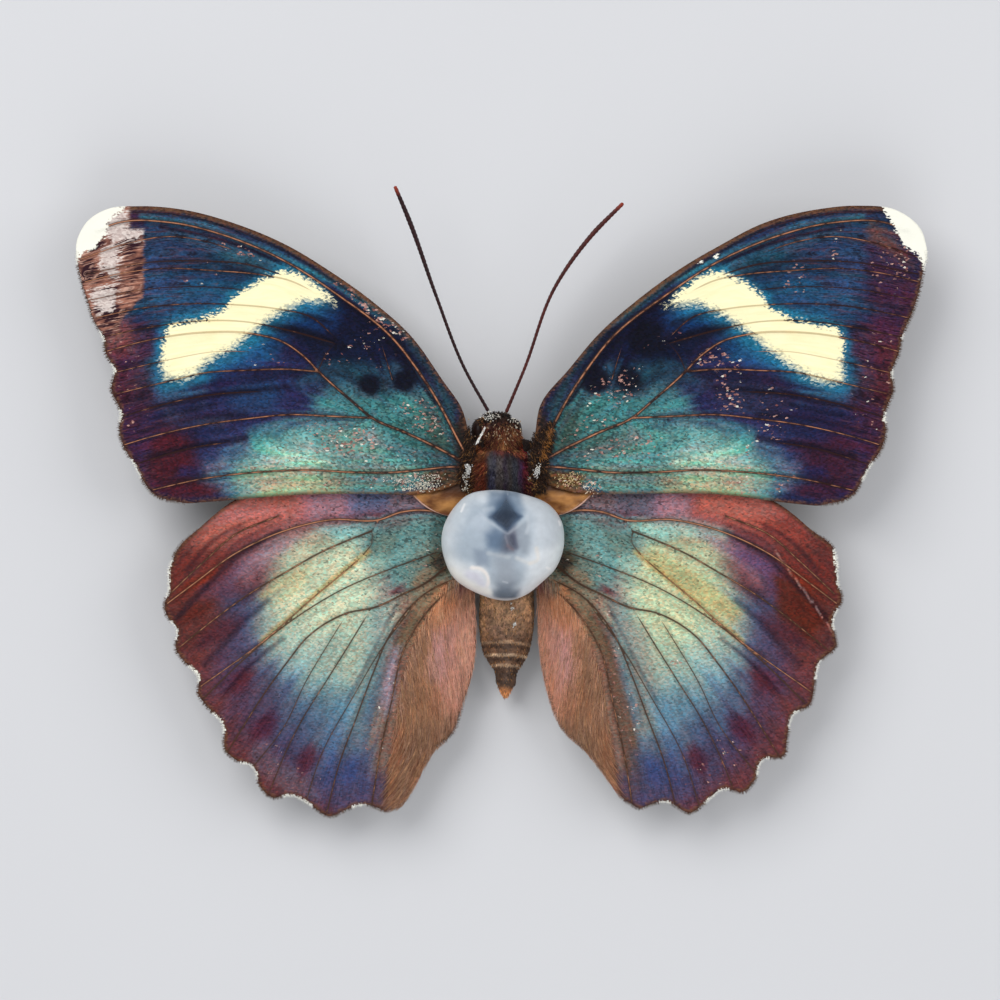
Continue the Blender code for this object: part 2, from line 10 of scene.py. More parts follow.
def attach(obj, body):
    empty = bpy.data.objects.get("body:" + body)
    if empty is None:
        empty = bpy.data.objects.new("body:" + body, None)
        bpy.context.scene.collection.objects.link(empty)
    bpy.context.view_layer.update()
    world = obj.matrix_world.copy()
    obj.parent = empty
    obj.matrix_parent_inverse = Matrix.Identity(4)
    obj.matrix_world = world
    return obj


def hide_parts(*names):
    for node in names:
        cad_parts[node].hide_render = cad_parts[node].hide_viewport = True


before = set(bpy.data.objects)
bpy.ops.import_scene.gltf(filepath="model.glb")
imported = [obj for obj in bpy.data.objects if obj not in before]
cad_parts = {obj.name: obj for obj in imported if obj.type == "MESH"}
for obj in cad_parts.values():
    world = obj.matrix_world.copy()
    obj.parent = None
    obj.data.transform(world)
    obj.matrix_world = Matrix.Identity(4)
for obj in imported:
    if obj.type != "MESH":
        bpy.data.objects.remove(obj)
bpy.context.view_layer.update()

# A dried butterfly with spread wings and a small milky glass dome on its back, seen from above.
# Lengths in the tables are millimetres. "out" runs from the body to the wing tip on either side.
mm = 0.001
dice = np.random.default_rng(7)


# Small tools for lines, distances and noise

def smoothLine(points, step):
    # a smooth line through all the points, sampled evenly
    knots = np.array(points, dtype=float)
    spans = np.linalg.norm(np.diff(knots, axis=0), axis=1)
    times = np.concatenate(([0.0], np.cumsum(spans)))
    slopes = np.gradient(knots, times, axis=0)
    samples = np.linspace(0, times[-1], max(2, round(times[-1] / step) + 1))
    index = np.clip(np.searchsorted(times, samples, side="right") - 1, 0, len(spans) - 1)
    span = spans[index][:, None]
    t = (samples - times[index])[:, None] / span
    first = (2 * t**3 - 3 * t**2 + 1) * knots[index] + (t**3 - 2 * t**2 + t) * span * slopes[index]
    last = (3 * t**2 - 2 * t**3) * knots[index + 1] + (t**3 - t**2) * span * slopes[index + 1]
    return first + last


def smoothLoop(points, step):
    # the same for a closed loop
    wrap = 4
    knots = np.vstack((points[-wrap:], points, points[: wrap + 1]))
    lengths = np.concatenate(([0.0], np.cumsum(np.linalg.norm(np.diff(knots, axis=0), axis=1))))
    fine = smoothLine(knots, step=step / 6)
    along = np.linspace(0, lengths[-1], len(fine))
    start = lengths[wrap]
    end = lengths[wrap + len(points)]
    wanted = np.linspace(start, end, round((end - start) / step), endpoint=False)
    return np.column_stack([np.interp(wanted, along, fine[:, axis]) for axis in range(2)])


def lineDistance(points, line):
    # distance to a line, in millimetres
    line = np.asarray(line, dtype=float)
    nearest = np.full(len(points), 1e9)
    for i in range(len(line) - 1):
        start = line[i]
        along = line[i + 1] - start
        share = np.clip((points - start) @ along / (along @ along), 0, 1)
        gap = np.linalg.norm(points - start - share[:, None] * along, axis=1)
        nearest = np.minimum(nearest, gap)
    return nearest


def insideOf(points, loop):
    inside = np.zeros(len(points), dtype=bool)
    for a, b in zip(loop, np.roll(loop, -1, axis=0)):
        spans = (a[1] > points[:, 1]) != (b[1] > points[:, 1])
        rise = b[1] - a[1] if b[1] != a[1] else 1.0
        inside ^= spans & (points[:, 0] < a[0] + (points[:, 1] - a[1]) * (b[0] - a[0]) / rise)
    return inside


def columns(*parts):
    return np.column_stack(parts)


def closed(loop):
    return np.vstack((loop, loop[:1]))


def depthInside(points, loop):
    # millimetres inside a closed shape, negative outside it
    loop = np.array(loop, dtype=float)
    gap = lineDistance(points, closed(loop))
    return np.where(insideOf(points, loop), gap, -gap)


def unit(vectors):
    return vectors / np.linalg.norm(vectors, axis=1)[:, None]


def ease(low, high, x):
    # 0 at low, 1 at high, with a soft start and end
    t = np.clip((x - low) / (high - low), 0, 1)
    return t * t * (3 - 2 * t)


def latticeValue(ix, iy, seed):
    # a repeatable number from 0 to 1 for each lattice point
    mixed = (ix * 374761393 + iy * 668265263 + seed * 974634777) & 0xFFFFFFFF
    mixed = ((mixed ^ (mixed >> 13)) * 1274126177) & 0xFFFFFFFF
    return ((mixed ^ (mixed >> 16)) & 0xFFFF) / 65535.0


def softNoise(x, y, seed, octaves=3):
    # smooth value noise from -1 to 1
    total = np.zeros(len(x))
    size = 1.0
    full = 0.0
    for octave in range(octaves):
        ix = np.floor(x).astype(np.int64)
        iy = np.floor(y).astype(np.int64)
        fx = ease(0, 1, x - ix)
        fy = ease(0, 1, y - iy)
        low = latticeValue(ix, iy, seed + octave) * (1 - fx) + latticeValue(ix + 1, iy, seed + octave) * fx
        high = latticeValue(ix, iy + 1, seed + octave) * (1 - fx)
        high = high + latticeValue(ix + 1, iy + 1, seed + octave) * fx
        total += size * ((low * (1 - fy) + high * fy) * 2 - 1)
        full += size
        size *= 0.55
        x = x * 2.03 + 11.7
        y = y * 2.03 + 5.3
    return total / full


def linear(colour):
    # 0 to 255 screen values to the linear ones that shaders use
    values = np.clip(np.array(colour, dtype=float) / 255, 0, 1)
    return np.where(values <= 0.04045, values / 12.92, ((values + 0.055) / 1.055) ** 2.4)


def plain(colour, count):
    return np.tile(np.array(colour, dtype=float), (count, 1))


def rgba(colour):
    return (*linear(colour), 1.0)


# Meshes

def makeMesh(name, places, triangles):
    mesh = bpy.data.meshes.new(name)
    places = np.asarray(places, dtype=np.float32)
    triangles = np.asarray(triangles, dtype=np.int32)
    mesh.vertices.add(len(places))
    mesh.vertices.foreach_set("co", places.ravel())
    mesh.loops.add(triangles.size)
    mesh.loops.foreach_set("vertex_index", triangles.ravel())
    mesh.polygons.add(len(triangles))
    mesh.polygons.foreach_set("loop_start", np.arange(0, triangles.size, 3, dtype=np.int32))
    mesh.polygons.foreach_set("use_smooth", np.full(len(triangles), True))
    mesh.update(calc_edges=True)
    mesh.validate()
    return mesh


def addField(mesh, name, values):
    values = np.asarray(values, dtype=np.float32)
    made = mesh.attributes.new(name, "FLOAT_VECTOR", "POINT")
    made.data.foreach_set("vector", values.ravel())


def addPiece(name, mesh, finishes, replaces=()):
    piece = bpy.data.objects.new(name, mesh)
    bpy.context.scene.collection.objects.link(piece)
    for finish in finishes:
        mesh.materials.append(finish.material)
    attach(piece, "root")
    if replaces:
        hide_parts(*replaces)
    return piece


def nodeMesh(node):
    # a CAD node's own corners and triangles, welded, in millimetres
    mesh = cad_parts[node].data
    places = np.empty(len(mesh.vertices) * 3, dtype=np.float32)
    mesh.vertices.foreach_get("co", places)
    mesh.calc_loop_triangles()
    triangles = np.empty(len(mesh.loop_triangles) * 3, dtype=np.int32)
    mesh.loop_triangles.foreach_get("vertices", triangles)
    places, source = np.unique(np.round(places.reshape(-1, 3) * 1000, 4), axis=0, return_inverse=True)
    triangles = source.reshape(-1)[triangles].reshape(-1, 3)
    return places, triangles


def outlineOf(node):
    # the loop round the upper face of a wing, anticlockwise seen from above
    places, triangles = nodeMesh(node)
    a, b, c = (places[triangles[:, i]] for i in range(3))
    normals = np.cross(b - a, c - a)
    upper = triangles[normals[:, 2] > 0.3 * np.linalg.norm(normals, axis=1)]
    following = {}
    paired = {(b, a) for tri in upper.tolist() for a, b in zip(tri, tri[1:] + tri[:1])}
    for tri in upper.tolist():
        for a, b in zip(tri, tri[1:] + tri[:1]):
            if (a, b) not in paired:
                following[a] = b
    start = next(iter(following))
    loop = [start]
    while following[loop[-1]] != start:
        loop.append(following[loop[-1]])
    return places[loop][:, :2].astype(float)


# Shader nodes as expressions

class Wire:
    # one socket, with operators that add Math nodes
    def __init__(self, finish, socket):
        self.finish = finish
        self.socket = socket

    def __add__(self, other):
        return self.finish.maths("ADD", self, other)

    def __radd__(self, other):
        return self.finish.maths("ADD", other, self)

    def __sub__(self, other):
        return self.finish.maths("SUBTRACT", self, other)

    def __rsub__(self, other):
        return self.finish.maths("SUBTRACT", other, self)

    def __mul__(self, other):
        return self.finish.maths("MULTIPLY", self, other)

    def __rmul__(self, other):
        return self.finish.maths("MULTIPLY", other, self)

    def __truediv__(self, other):
        return self.finish.maths("DIVIDE", self, other)


class Finish:
    # one material, its Principled shader and the nodes that feed it
    def __init__(self, name, **settings):
        self.material = bpy.data.materials.new(name)
        self.material.use_nodes = True
        self.tree = self.material.node_tree
        self.shader = self.tree.nodes["Principled BSDF"]
        self.feed(**settings)

    def join(self, value, socket):
        # a colour socket also takes a screen colour of three numbers
        if isinstance(value, Wire):
            self.tree.links.new(value.socket, socket)
        elif socket.type == "RGBA" and len(value) == 3:
            socket.default_value = rgba(value)
        else:
            socket.default_value = value

    def feed(self, **settings):
        # Principled sockets by their names without spaces
        for socket in self.shader.inputs:
            if socket.name.replace(" ", "") in settings:
                self.join(settings[socket.name.replace(" ", "")], socket)

    def node(self, kind, settings=None, inputs=None):
        made = self.tree.nodes.new("ShaderNode" + kind)
        for name, value in (settings or {}).items():
            setattr(made, name, value)
        for name, value in (inputs or {}).items():
            self.join(value, made.inputs[name])
        return made

    def wire(self, kind, settings=None, inputs=None, output=0):
        return Wire(self, self.node(kind, settings, inputs).outputs[output])

    def maths(self, operation, *values, clamp=False):
        return self.wire("Math", {"operation": operation, "use_clamp": clamp}, dict(enumerate(values)))

    def clamp(self, value):
        return self.maths("ADD", value, 0.0, clamp=True)

    def mix(self, share, a, b, blend="MIX"):
        return self.wire("Mix", {"data_type": "RGBA", "blend_type": blend}, {0: share, 6: a, 7: b}, 2)

    def scaled(self, vector, factors):
        return self.wire("VectorMath", {"operation": "MULTIPLY"}, {0: vector, 1: factors})

    def dimmed(self, vector, amount):
        return self.wire("VectorMath", {"operation": "SCALE"}, {0: vector, "Scale": amount})

    def field(self, name):
        # three numbers stored at each point of the mesh
        return self.wire("Attribute", {"attribute_name": name}, None, "Vector")

    def parts(self, vector):
        made = self.node("SeparateXYZ", None, {0: vector})
        return [Wire(self, socket) for socket in made.outputs]

    def place(self):
        # object coordinates in millimetres
        return self.scaled(self.wire("TexCoord", None, None, "Object"), (1000, 1000, 1000))

    def noise(self, vector, scale, detail=2.0, rough=0.5):
        return self.wire("TexNoise", {"noise_dimensions": "3D"}, {
            "Vector": vector, "Scale": scale, "Detail": detail, "Roughness": rough}, "Fac")

    def rowNoise(self, along, across, seed, detail):
        # streaks that follow the rows of scales
        return self.noise(self.wire("CombineXYZ", None, {0: along, 1: across, 2: seed}), 1.0, detail, 0.6)

    def cells(self, vector, scale, dimensions="2D"):
        # three random numbers for each small cell
        settings = {"voronoi_dimensions": dimensions, "feature": "F1"}
        return self.parts(self.wire("TexVoronoi", settings, {"Vector": vector, "Scale": scale}, "Color"))

    def bump(self, height, depth, strength):
        inputs = {"Height": height, "Distance": depth, "Strength": strength}
        return self.wire("Bump", None, inputs, "Normal")


# Wings

wingForm = {
    "rootHeight": 5.5, "rootOut": 3.0, "reach": 37.0, "lift": 1.5, "tipDroop": 0.7,
    "hindBelow": 0.85, "hindDroop": 0.5, "hindLength": 30.0,
    "foldDrop": 1.0, "foldOut": 2.4, "foldWidth": 3.2, "foldFrom": -4.0, "foldFull": -11.0,
    "thickness": 0.1, "outlineStep": 0.22, "pointStep": 0.19, "underStep": 0.6,
    "inset": 0.22, "pleatDepth": 0.12, "pleatReach": 1.3,
}


def forewingHeight(out, y):
    # y is there so that both wings' heights are called alike
    share = np.clip((out - wingForm["rootOut"]) / wingForm["reach"], 0, 1)
    rise = wingForm["rootHeight"] + wingForm["lift"] * share * (1.6 - share)
    return rise - wingForm["tipDroop"] * share**4


def hindwingHeight(out, y):
    back = np.clip(-y / wingForm["hindLength"], 0, 1)
    sheet = forewingHeight(out, y) - wingForm["hindBelow"] - wingForm["hindDroop"] * back**2
    along = np.clip((y - wingForm["foldFrom"]) / (wingForm["foldFull"] - wingForm["foldFrom"]), 0, 1)
    across = (out - wingForm["foldOut"]) / wingForm["foldWidth"]
    return sheet - wingForm["foldDrop"] * along * np.exp(-(across**2))


# Lines of a wing: points (out, y), half width at the root and at the end, tone from dark to copper,
# height over the membrane, and the line's number for the way that the scales lie.
forewingLines = [
    ([(3.4, 4.3), (4, 5.4), (6, 9.2), (8, 12.3), (10.2, 15.1), (15.5, 19.3), (20, 22.2), (26, 24.8),
        (31, 26), (36, 26), (38, 25.3)], 0.13, 0.08, 0.8, 0.15, 0),
    ([(24.5, 23.2), (28, 24.3), (31, 24.7), (35, 24.1), (39.5, 22.6)], 0.05, 0.05, 0.5, 0.05, 0.7),
    ([(17.4, 19.4), (20, 20.6), (22.5, 21.1), (27, 21.5), (32, 21.7), (36, 21.2), (39.4, 20.4)], 0.06, 0.05,
        0.6, 0.07, 1),
    ([(15.4, 15), (18, 17.2), (21, 17.9), (25, 18.3), (29, 18.4), (33, 18.1), (38.6, 17)], 0.06, 0.05, 0.3,
        0.07, 2),
    ([(3.6, 3.5), (4.6, 4.1), (9, 6.3), (12.2, 7.7), (14, 9.2), (17.2, 12.05), (18.4, 13.3), (20.5, 14.8),
        (23.5, 15.6), (28, 15.7), (33.5, 14.9), (37.3, 13.9)], 0.13, 0.055, 0.6, 0.13, 3),
    ([(17.4, 12.05), (20, 12.25), (24, 12.15), (28, 11.9), (31, 11.2), (36.8, 9.8)], 0.08, 0.05, 0.6, 0.09,
        4),
    ([(12.4, 7.7), (16, 7.85), (20, 8), (24, 7.6), (28, 7.05), (33, 5.9), (36, 5)], 0.09, 0.055, 0.75, 0.1,
        5),
    ([(3.2, 3), (4.2, 3.1), (7, 2.9), (10, 2.6), (14, 2.6), (18, 2.8), (23, 2.6), (28, 2), (33.4, 0.8)],
        0.11, 0.06, 0.65, 0.1, 6),
    ([(15.4, 15), (16.6, 13.5), (17.2, 12.2)], 0.04, 0.04, 0.1, 0.06, 2.2),
    ([(11.4, 14.9), (10.8, 13), (10.3, 11.3)], 0.035, 0.03, 0.5, 0.03, 1.2),
]
forewingFolds = [
    ([(15, 14.5), (20, 15.9), (24, 16.7), (28, 16.8), (33, 16.2), (37.9, 15.2)], 0.06, 0.05, 0.1, -0.05,
        2.6),
    ([(23, 13.9), (27, 13.9), (31, 13.2), (36.6, 11.9)], 0.03, 0.04, 0.8, -0.03, 3.5),
    ([(22, 10.2), (27, 9.9), (32, 8.9), (36, 7.7)], 0.05, 0.05, 0.05, -0.05, 4.5),
    ([(25, 5.5), (29, 4.9), (34.6, 3.3)], 0.05, 0.05, 0.1, -0.04, 5.5),
    ([(20, 20.9), (24, 22.1), (28, 22.4), (33, 22.3), (39, 21.2)], 0.06, 0.05, 0, -0.03, 0.9),
    ([(23, 19.6), (28, 20), (33, 19.8), (39, 18.7)], 0.04, 0.04, 0.05, -0.03, 1.5),
]
hindwingLines = [
    ([(5.3, -1.3), (7.5, -0.95), (9.5, -1.15), (11.5, -1.85), (16, -1.85), (19.5, -2.6), (25, -5),
        (29, -7.9), (31.4, -9.7)], 0.11, 0.06, 0.95, 0.12, 0),
    ([(12.2, -2.9), (14, -3.6), (17, -4.9), (20, -6.6), (24, -9), (26.5, -10.8), (30.5, -14)], 0.07, 0.05,
        0.35, 0.09, 1),
    ([(5.2, -4.6), (10, -6.3), (15, -8.4), (20, -11.5), (24.5, -15.2), (28.4, -19)], 0.05, 0.05, 0.1, 0.05,
        2),
    ([(4.9, -6), (7.5, -8), (9, -8.7), (12, -10.1), (14.5, -10.6), (16.6, -11.6), (18.5, -13.1), (20, -15),
        (21.5, -17), (26, -24)], 0.08, 0.05, 0.2, 0.09, 3),
    ([(12.3, -10.2), (14, -13), (16.5, -17), (18.7, -20.5), (20, -23), (22, -27.8)], 0.05, 0.04, 0.1, 0.07,
        4),
    ([(14.5, -10.6), (16, -13), (18.5, -17.2), (20.3, -21), (23.8, -25.6)], 0.035, 0.04, 0.1, 0.04, 3.5),
    ([(4.2, -7.2), (7.5, -9), (10.5, -12.6), (12, -16), (13.7, -20.5), (15.2, -24.5), (16.5, -29.5)], 0.06,
        0.05, 0.15, 0.08, 5),
    ([(3.9, -7.6), (6.6, -10), (9.2, -14), (10.4, -19), (11.5, -24), (12.3, -29)], 0.06, 0.06, 0.4, 0.08,
        6),
    ([(11.5, -1.9), (12.2, -2.9), (12.2, -4), (13, -5.1)], 0.05, 0.04, 0.2, 0.05, 0.9),
]
hindwingFolds = [
    ([(12.8, -5), (15, -6.9), (18, -9.4), (20, -11.2), (22.5, -13.3), (29, -18)], 0.05, 0.05, 0.7, -0.06,
        1.5),
    ([(8, -9.6), (11, -13.5), (14, -18.5), (17, -24), (18.5, -28.6)], 0.035, 0.04, 0.1, -0.05, 4.5),
    ([(21, -1.5), (25, -3.2), (28, -5.8), (31.2, -8.8)], 0.07, 0.06, 0.5, -0.05, -0.5),
]

# Outlines of the cream band and the white tip of each forewing
creamBand = {
    "left": [(15.6, 18.5), (17, 19.9), (18.7, 21.1), (20.5, 21.6), (22, 21), (23.5, 20.2), (25.2, 19.1),
        (26.2, 17.8), (28.4, 16.95), (31.3, 16.4), (31.9, 14.5), (31.9, 12.7), (31.5, 11.3), (30, 11.35),
        (28.4, 12.1), (27.6, 13), (25.5, 14.1), (23.8, 15.4), (22, 16.8), (20.4, 17.8), (18.4, 18.75),
        (16.2, 18.7)],
    "right": [(15.3, 18.2), (16.7, 19.6), (18.2, 20.8), (19.6, 21.5), (20.8, 21.3), (23, 20.3),
        (24.4, 19.2), (25.3, 18), (27, 17.1), (29, 16.6), (31.4, 16.2), (32.1, 14.8), (31.9, 12.8),
        (31.9, 11.2), (31, 11), (29.6, 11.3), (28.3, 11.9), (26.4, 13.1), (24.4, 14.6), (22.8, 16),
        (21, 17.2), (18.6, 18.4), (16.8, 18.4)],
}
whiteTip = {
    "left": [(35, 27.7), (38.2, 27.5), (40.5, 25.4), (40.7, 22.2), (39.9, 22.3), (39.4, 23.1), (38.3, 23.5),
        (37.5, 24.4), (37.1, 25.1), (37, 25.8), (36.6, 26.5), (35.6, 27.1)],
    "right": [(35.5, 27.8), (38.4, 27.5), (40.6, 25), (40.6, 21.6), (39.6, 21.9), (39, 23), (37.7, 23.9),
        (37.1, 25), (36.3, 26.4)],
}
forewingSpecks = {  # short white strokes in the notches of the margin, and two painted glints near the front edge of the right forewing; with their half widths
    "left": [([(37.9, 15.5), (37.6, 15.1)], 0.16), ([(36.8, 12.4), (36.5, 12.1)], 0.22), ([(36, 8.1),
        (35.95, 7.7)], 0.26), ([(34.8, 3.4), (34.2, 2.2)], 0.18)],
    "right": [([(20.2, 23), (20.1, 22.8)], 0.1), ([(18.7, 22.35), (18.55, 22.25)], 0.06), ([(37.9, 15.4),
        (37.8, 15.2)], 0.1), ([(36.85, 12), (36.75, 11.7)], 0.18), ([(36.1, 7.9), (36, 7.5)], 0.22),
        ([(34.8, 3.2), (34, 1.9)], 0.18)],
}
hindwingSpecks = {
    "left": [([(31.4, -5.5), (31.55, -8.8)], 0.2), ([(31.05, -11.7), (30.7, -12.8)], 0.22), ([(29.3, -15.8),
        (28.7, -16.3), (28.6, -16.8)], 0.2), ([(27, -20.3), (26.5, -20.7), (26.3, -21.6)], 0.2),
        ([(24.4, -24.9), (23.6, -25.2), (23.1, -25.9)], 0.2), ([(20.3, -27.95), (19.3, -28.05),
        (18.2, -28.8)], 0.18), ([(13.8, -28.95), (13, -28.9)], 0.08)],
    "right": [([(31.4, -4.9), (31.8, -7.9)], 0.24), ([(31.5, -10.6), (31.3, -11.9)], 0.22), ([(30, -15.4),
        (29.6, -16.6)], 0.18), ([(27.7, -20.1), (27.2, -21.2)], 0.2), ([(24.9, -24.6), (24.2, -25.6)], 0.2),
        ([(21, -27.4), (20, -27.8), (19.4, -28.4)], 0.18), ([(15.6, -28.6), (15, -28.5)], 0.08)],
}

# Soft brush work, in order: side, colour, outline, feather and raggedness in millimetres, strength.
forewingAreas = [
    ("both", (26, 58, 88), [(17, 18), (19.5, 22), (24, 25), (30, 26.8), (36, 26.8), (38.5, 22),
        (36.5, 16.5), (33, 15.8), (28, 16.5), (22, 18)], 1.3, 0.6, 1),
    ("both", (50, 84, 100), [(18, 20.6), (22, 22.6), (27, 24.6), (31, 25.6), (31.5, 24.8), (28, 23.4),
        (23, 21.2), (19, 19.8)], 0.6, 0.4, 0.8),
    ("both", (30, 72, 104), [(25.5, 20.6), (29, 20.6), (33.4, 20), (33.6, 16.4), (29, 16.8), (26, 18.2)], 1,
        0.6, 0.8),
    ("both", (42, 60, 96), [(26, 24.4), (31, 24.2), (33.2, 23), (31, 22.2), (26.5, 22.6)], 0.8, 0.8, 0.4),
    ("both", (22, 64, 100), [(21, 16.4), (24.6, 14.6), (28, 12.6), (30, 11.4), (27, 11), (23, 12.4),
        (20, 14.4), (19, 16)], 0.8, 0.8, 0.85),
    ("both", (14, 17, 40), [(6.6, 12), (9, 15.6), (12, 18.2), (16, 19.2), (18.4, 18), (21, 16.2),
        (18.5, 13.8), (16.4, 12.2), (12, 10.8), (9, 10.4)], 1, 0.6, 0.95),
    ("both", (18, 54, 104), [(15, 17.6), (18, 18.4), (21, 17), (18.6, 15.6), (15.5, 16)], 0.8, 0.5, 0.7),
    ("both", (38, 70, 86), [(5, 8), (7.4, 11.6), (9.6, 13), (12, 12.4), (15, 13.2), (17.4, 12.8), (19, 11),
        (10, 8)], 0.9, 0.9, 0.75),
    ("both", (66, 120, 122), [(4.4, 5), (5.8, 8.6), (7.6, 10.4), (11, 10), (14.6, 10.4), (16.2, 10.8),
        (17, 9.8), (17.6, 9), (17.6, 8.2), (15, 7.2), (8, 3.2)], 1.1, 0.8, 0.95),
    ("both", (32, 84, 120), [(20, 11.8), (24.5, 11.6), (26, 10), (25, 8.2), (21.5, 8.4)], 1.2, 1.2, 0.35),
    ("right", (40, 34, 58), [(18.5, 11.8), (26, 12), (28, 9.6), (26, 7), (21, 8.2)], 1, 1, 0.8),
    ("both", (54, 74, 100), [(27.4, 10.8), (32.4, 10.2), (33, 8.8), (28, 9.2)], 0.6, 0.8, 0.65),
    ("both", (44, 50, 86), [(21, 7.8), (25, 7.8), (27.4, 6.4), (28.8, 4), (28, 1.6), (25, 0.4), (20, 0.2),
        (20, 7.8)], 1.1, 1.4, 0.85),
    ("both", (86, 140, 136), [(6, 3.4), (12, 6.6), (17, 7.8), (20.2, 7.2), (23.8, 5.8), (25.8, 3.8),
        (26, -2), (14, -2), (7, 1.4)], 1.3, 0.9, 0.95),
    ("both", (176, 206, 178), [(16, 3.9), (18, 4.8), (20.6, 4.8), (22, 4.2), (22.8, 3.4), (22, 2.8),
        (19.6, 2.8), (16.5, 2.9)], 1.6, 0.6, 0.85),
    ("both", (160, 172, 130), [(15, 2.2), (20, 2.3), (22.6, 2), (23, -2), (18, -2), (14.4, -0.6)], 1.2, 0.6,
        0.85),
    ("both", (58, 92, 116), [(23.6, 5.4), (25.8, 4.4), (27.4, 3), (27, 0.8), (25.4, 0.6), (25, 3)], 1.3, 1,
        0.5),
    ("left", (120, 132, 122), [(11, 3.2), (11.6, 6.2), (15, 6.9), (17, 6.4), (16, 4), (14, 3)], 1, 0.8,
        0.55),
    ("both", (60, 98, 98), [(3.6, 2.4), (4.4, 7), (6.6, 10.4), (9, 9), (10, 6), (8, 3), (6, 2)], 1.2, 0.8,
        0.7),
    ("left", (68, 24, 34), [(28.4, 6.6), (31.6, 7), (33.4, 5), (34, 2), (31, 0), (26.4, 0), (28, 2.6),
        (29, 4.6)], 1, 1.2, 0.95),
    ("right", (56, 26, 44), [(27.6, 5.6), (31.6, 6.4), (33.4, 5), (34, 2), (31, 0), (27.4, 0), (28.4, 2.6)],
        1.1, 1.6, 0.9),
    ("both", (32, 38, 90), [(27.4, 3), (30.2, 3.2), (30.6, 2.2), (28, 1.8)], 0.4, 0.6, 0.6),
    ("both", (54, 32, 60), [(33.4, 17), (38, 15.5), (37.2, 10), (36.4, 5), (33.4, 0.6), (33.2, 5),
        (33, 10)], 1.1, 1.2, 0.9),
    ("right", (62, 32, 40), [(34.6, 22), (39.4, 21), (38.4, 15), (37.4, 9), (36.4, 5), (35, 5), (35.4, 10),
        (35.4, 16)], 1.3, 1.6, 0.75),
    ("left", (50, 28, 56), [(33.4, 27.2), (35.6, 27.2), (35.6, 25.6), (33.4, 25.6)], 0.4, 0.4, 0.9),
    ("both", (78, 32, 40), [(33.4, 12), (36.6, 12.4), (36.4, 9), (33.6, 8.6)], 0.8, 1, 0.6),
    ("both", (74, 36, 44), [(33.2, 16.6), (37.8, 16.2), (37, 13.6), (33.4, 13.6)], 0.8, 1, 0.5),
    ("right", (60, 34, 62), [(34, 24.5), (38.5, 23.5), (39.6, 20), (38, 15), (34.5, 15.5), (33.8, 20)], 1.2,
        1, 0.85),
    ("both", (32, 62, 88), [(29.6, 24.8), (33.2, 25), (34, 22.4), (30.4, 22)], 0.9, 0.8, 0.6),
    ("both", (54, 40, 60), [(32.8, 16.2), (34.6, 16.2), (34.6, 9.2), (32.8, 9.4)], 0.5, 0.7, 0.8),
    ("left", (124, 84, 74), [(34.6, 17.4), (37.6, 16.8), (37, 13.4), (34.8, 14)], 0.8, 1, 0.6),
    ("right", (108, 68, 56), [(34.6, 25.8), (37, 24.8), (38.4, 23), (39.4, 21.8), (38.6, 21.2),
        (36.6, 22.6), (34.4, 24.4)], 0.6, 0.9, 0.75),
    ("both", (52, 78, 114), [(31.6, 23.4), (34, 23.4), (34, 19), (31.6, 19)], 0.8, 0.8, 0.55),
    ("right", (16, 58, 82), [(22.8, 23.2), (26, 23.8), (26.4, 22), (23, 21.6)], 0.6, 0.6, 0.6),
    ("both", (38, 54, 66), [(10.2, 11.4), (13.6, 11.4), (13.6, 9.8), (10.4, 9.6)], 0.6, 0.6, 0.65),
    ("left", (72, 68, 90), [(25, 8.2), (31.4, 8.4), (31.4, 6.8), (26, 6.6)], 0.6, 0.9, 0.65),
    ("both", (60, 60, 54), [(4.8, 4.6), (6, 8.4), (7.2, 8.2), (7, 6), (6.2, 4)], 0.6, 0.7, 0.6),
    ("right", (80, 92, 84), [(6.6, 4.2), (8.6, 6), (12.6, 6.4), (13, 4.6), (10, 4)], 0.8, 0.7, 0.55),
    ("both", (140, 130, 110), [(7.6, 2), (17, 2.2), (17, 3.2), (8, 3.2)], 0.4, 0.4, 0.45),
    ("both", (166, 164, 128), [(17, 3.2), (24.4, 3.2), (25.2, 2), (24, 0.6), (17.6, 0.8)], 0.9, 0.5, 0.5),
    ("both", (100, 108, 120), [(25.6, 3.8), (28, 3.2), (28.4, 1.8), (26, 1.2)], 0.8, 0.8, 0.6),
    ("both", (50, 102, 118), [(9, 15.8), (13, 19), (16, 20.9), (22, 23.7), (28, 26), (34, 26.9), (34, 26.3),
        (28, 25.5), (22, 23), (16, 20.2), (11, 16.6)], 0.25, 0.1, 0.9),
    ("both", (34, 60, 70), [(4.6, 7.4), (6.4, 11), (9, 14.6), (10.4, 16.6), (9.2, 16.2), (6.4, 12.6),
        (4, 8.8)], 0.4, 0.3, 0.9),
    ("both", (44, 34, 28), [(2.6, 0.6), (2.4, 6.4), (3.6, 8.6), (4.6, 7), (4.4, 4), (4.2, 2), (4.6, 0.8)],
        0.5, 0.4, 0.95),
    ("left", (132, 112, 88), [(5, 1.9), (7.2, 1.7), (7.4, 2.9), (5, 2.9)], 0.3, 0.4, 0.6),
    ("left", (78, 56, 36), [(3.6, 1.4), (4, 3), (6.4, 2.9), (7.4, 2.2), (6, 1.3), (5, 1)], 0.5, 0.5, 0.85),
    ("right", (116, 78, 40), [(4, 1.2), (4, 2.8), (6.6, 2.6), (7.8, 2.2), (7.4, 1.2), (6, 0.9)], 0.4, 0.5,
        0.9),
    ("right", (52, 38, 26), [(3.8, 1), (4.2, 2.2), (5.2, 2.1), (5.6, 1.4), (5, 0.8)], 0.3, 0.3, 0.85),
    ("both", (104, 84, 74), [(9, 1.8), (16.4, 2.2), (16.8, 1.2), (10, 1)], 0.4, 0.5, 0.45),
    ("both", (150, 106, 54), [(3.2, 0.2), (3.4, 1.5), (4.6, 1.5), (6.4, 1.1), (8.8, 0.7), (8.6, 0.1),
        (5, 0)], 0.25, 0.2, 0.95),
]
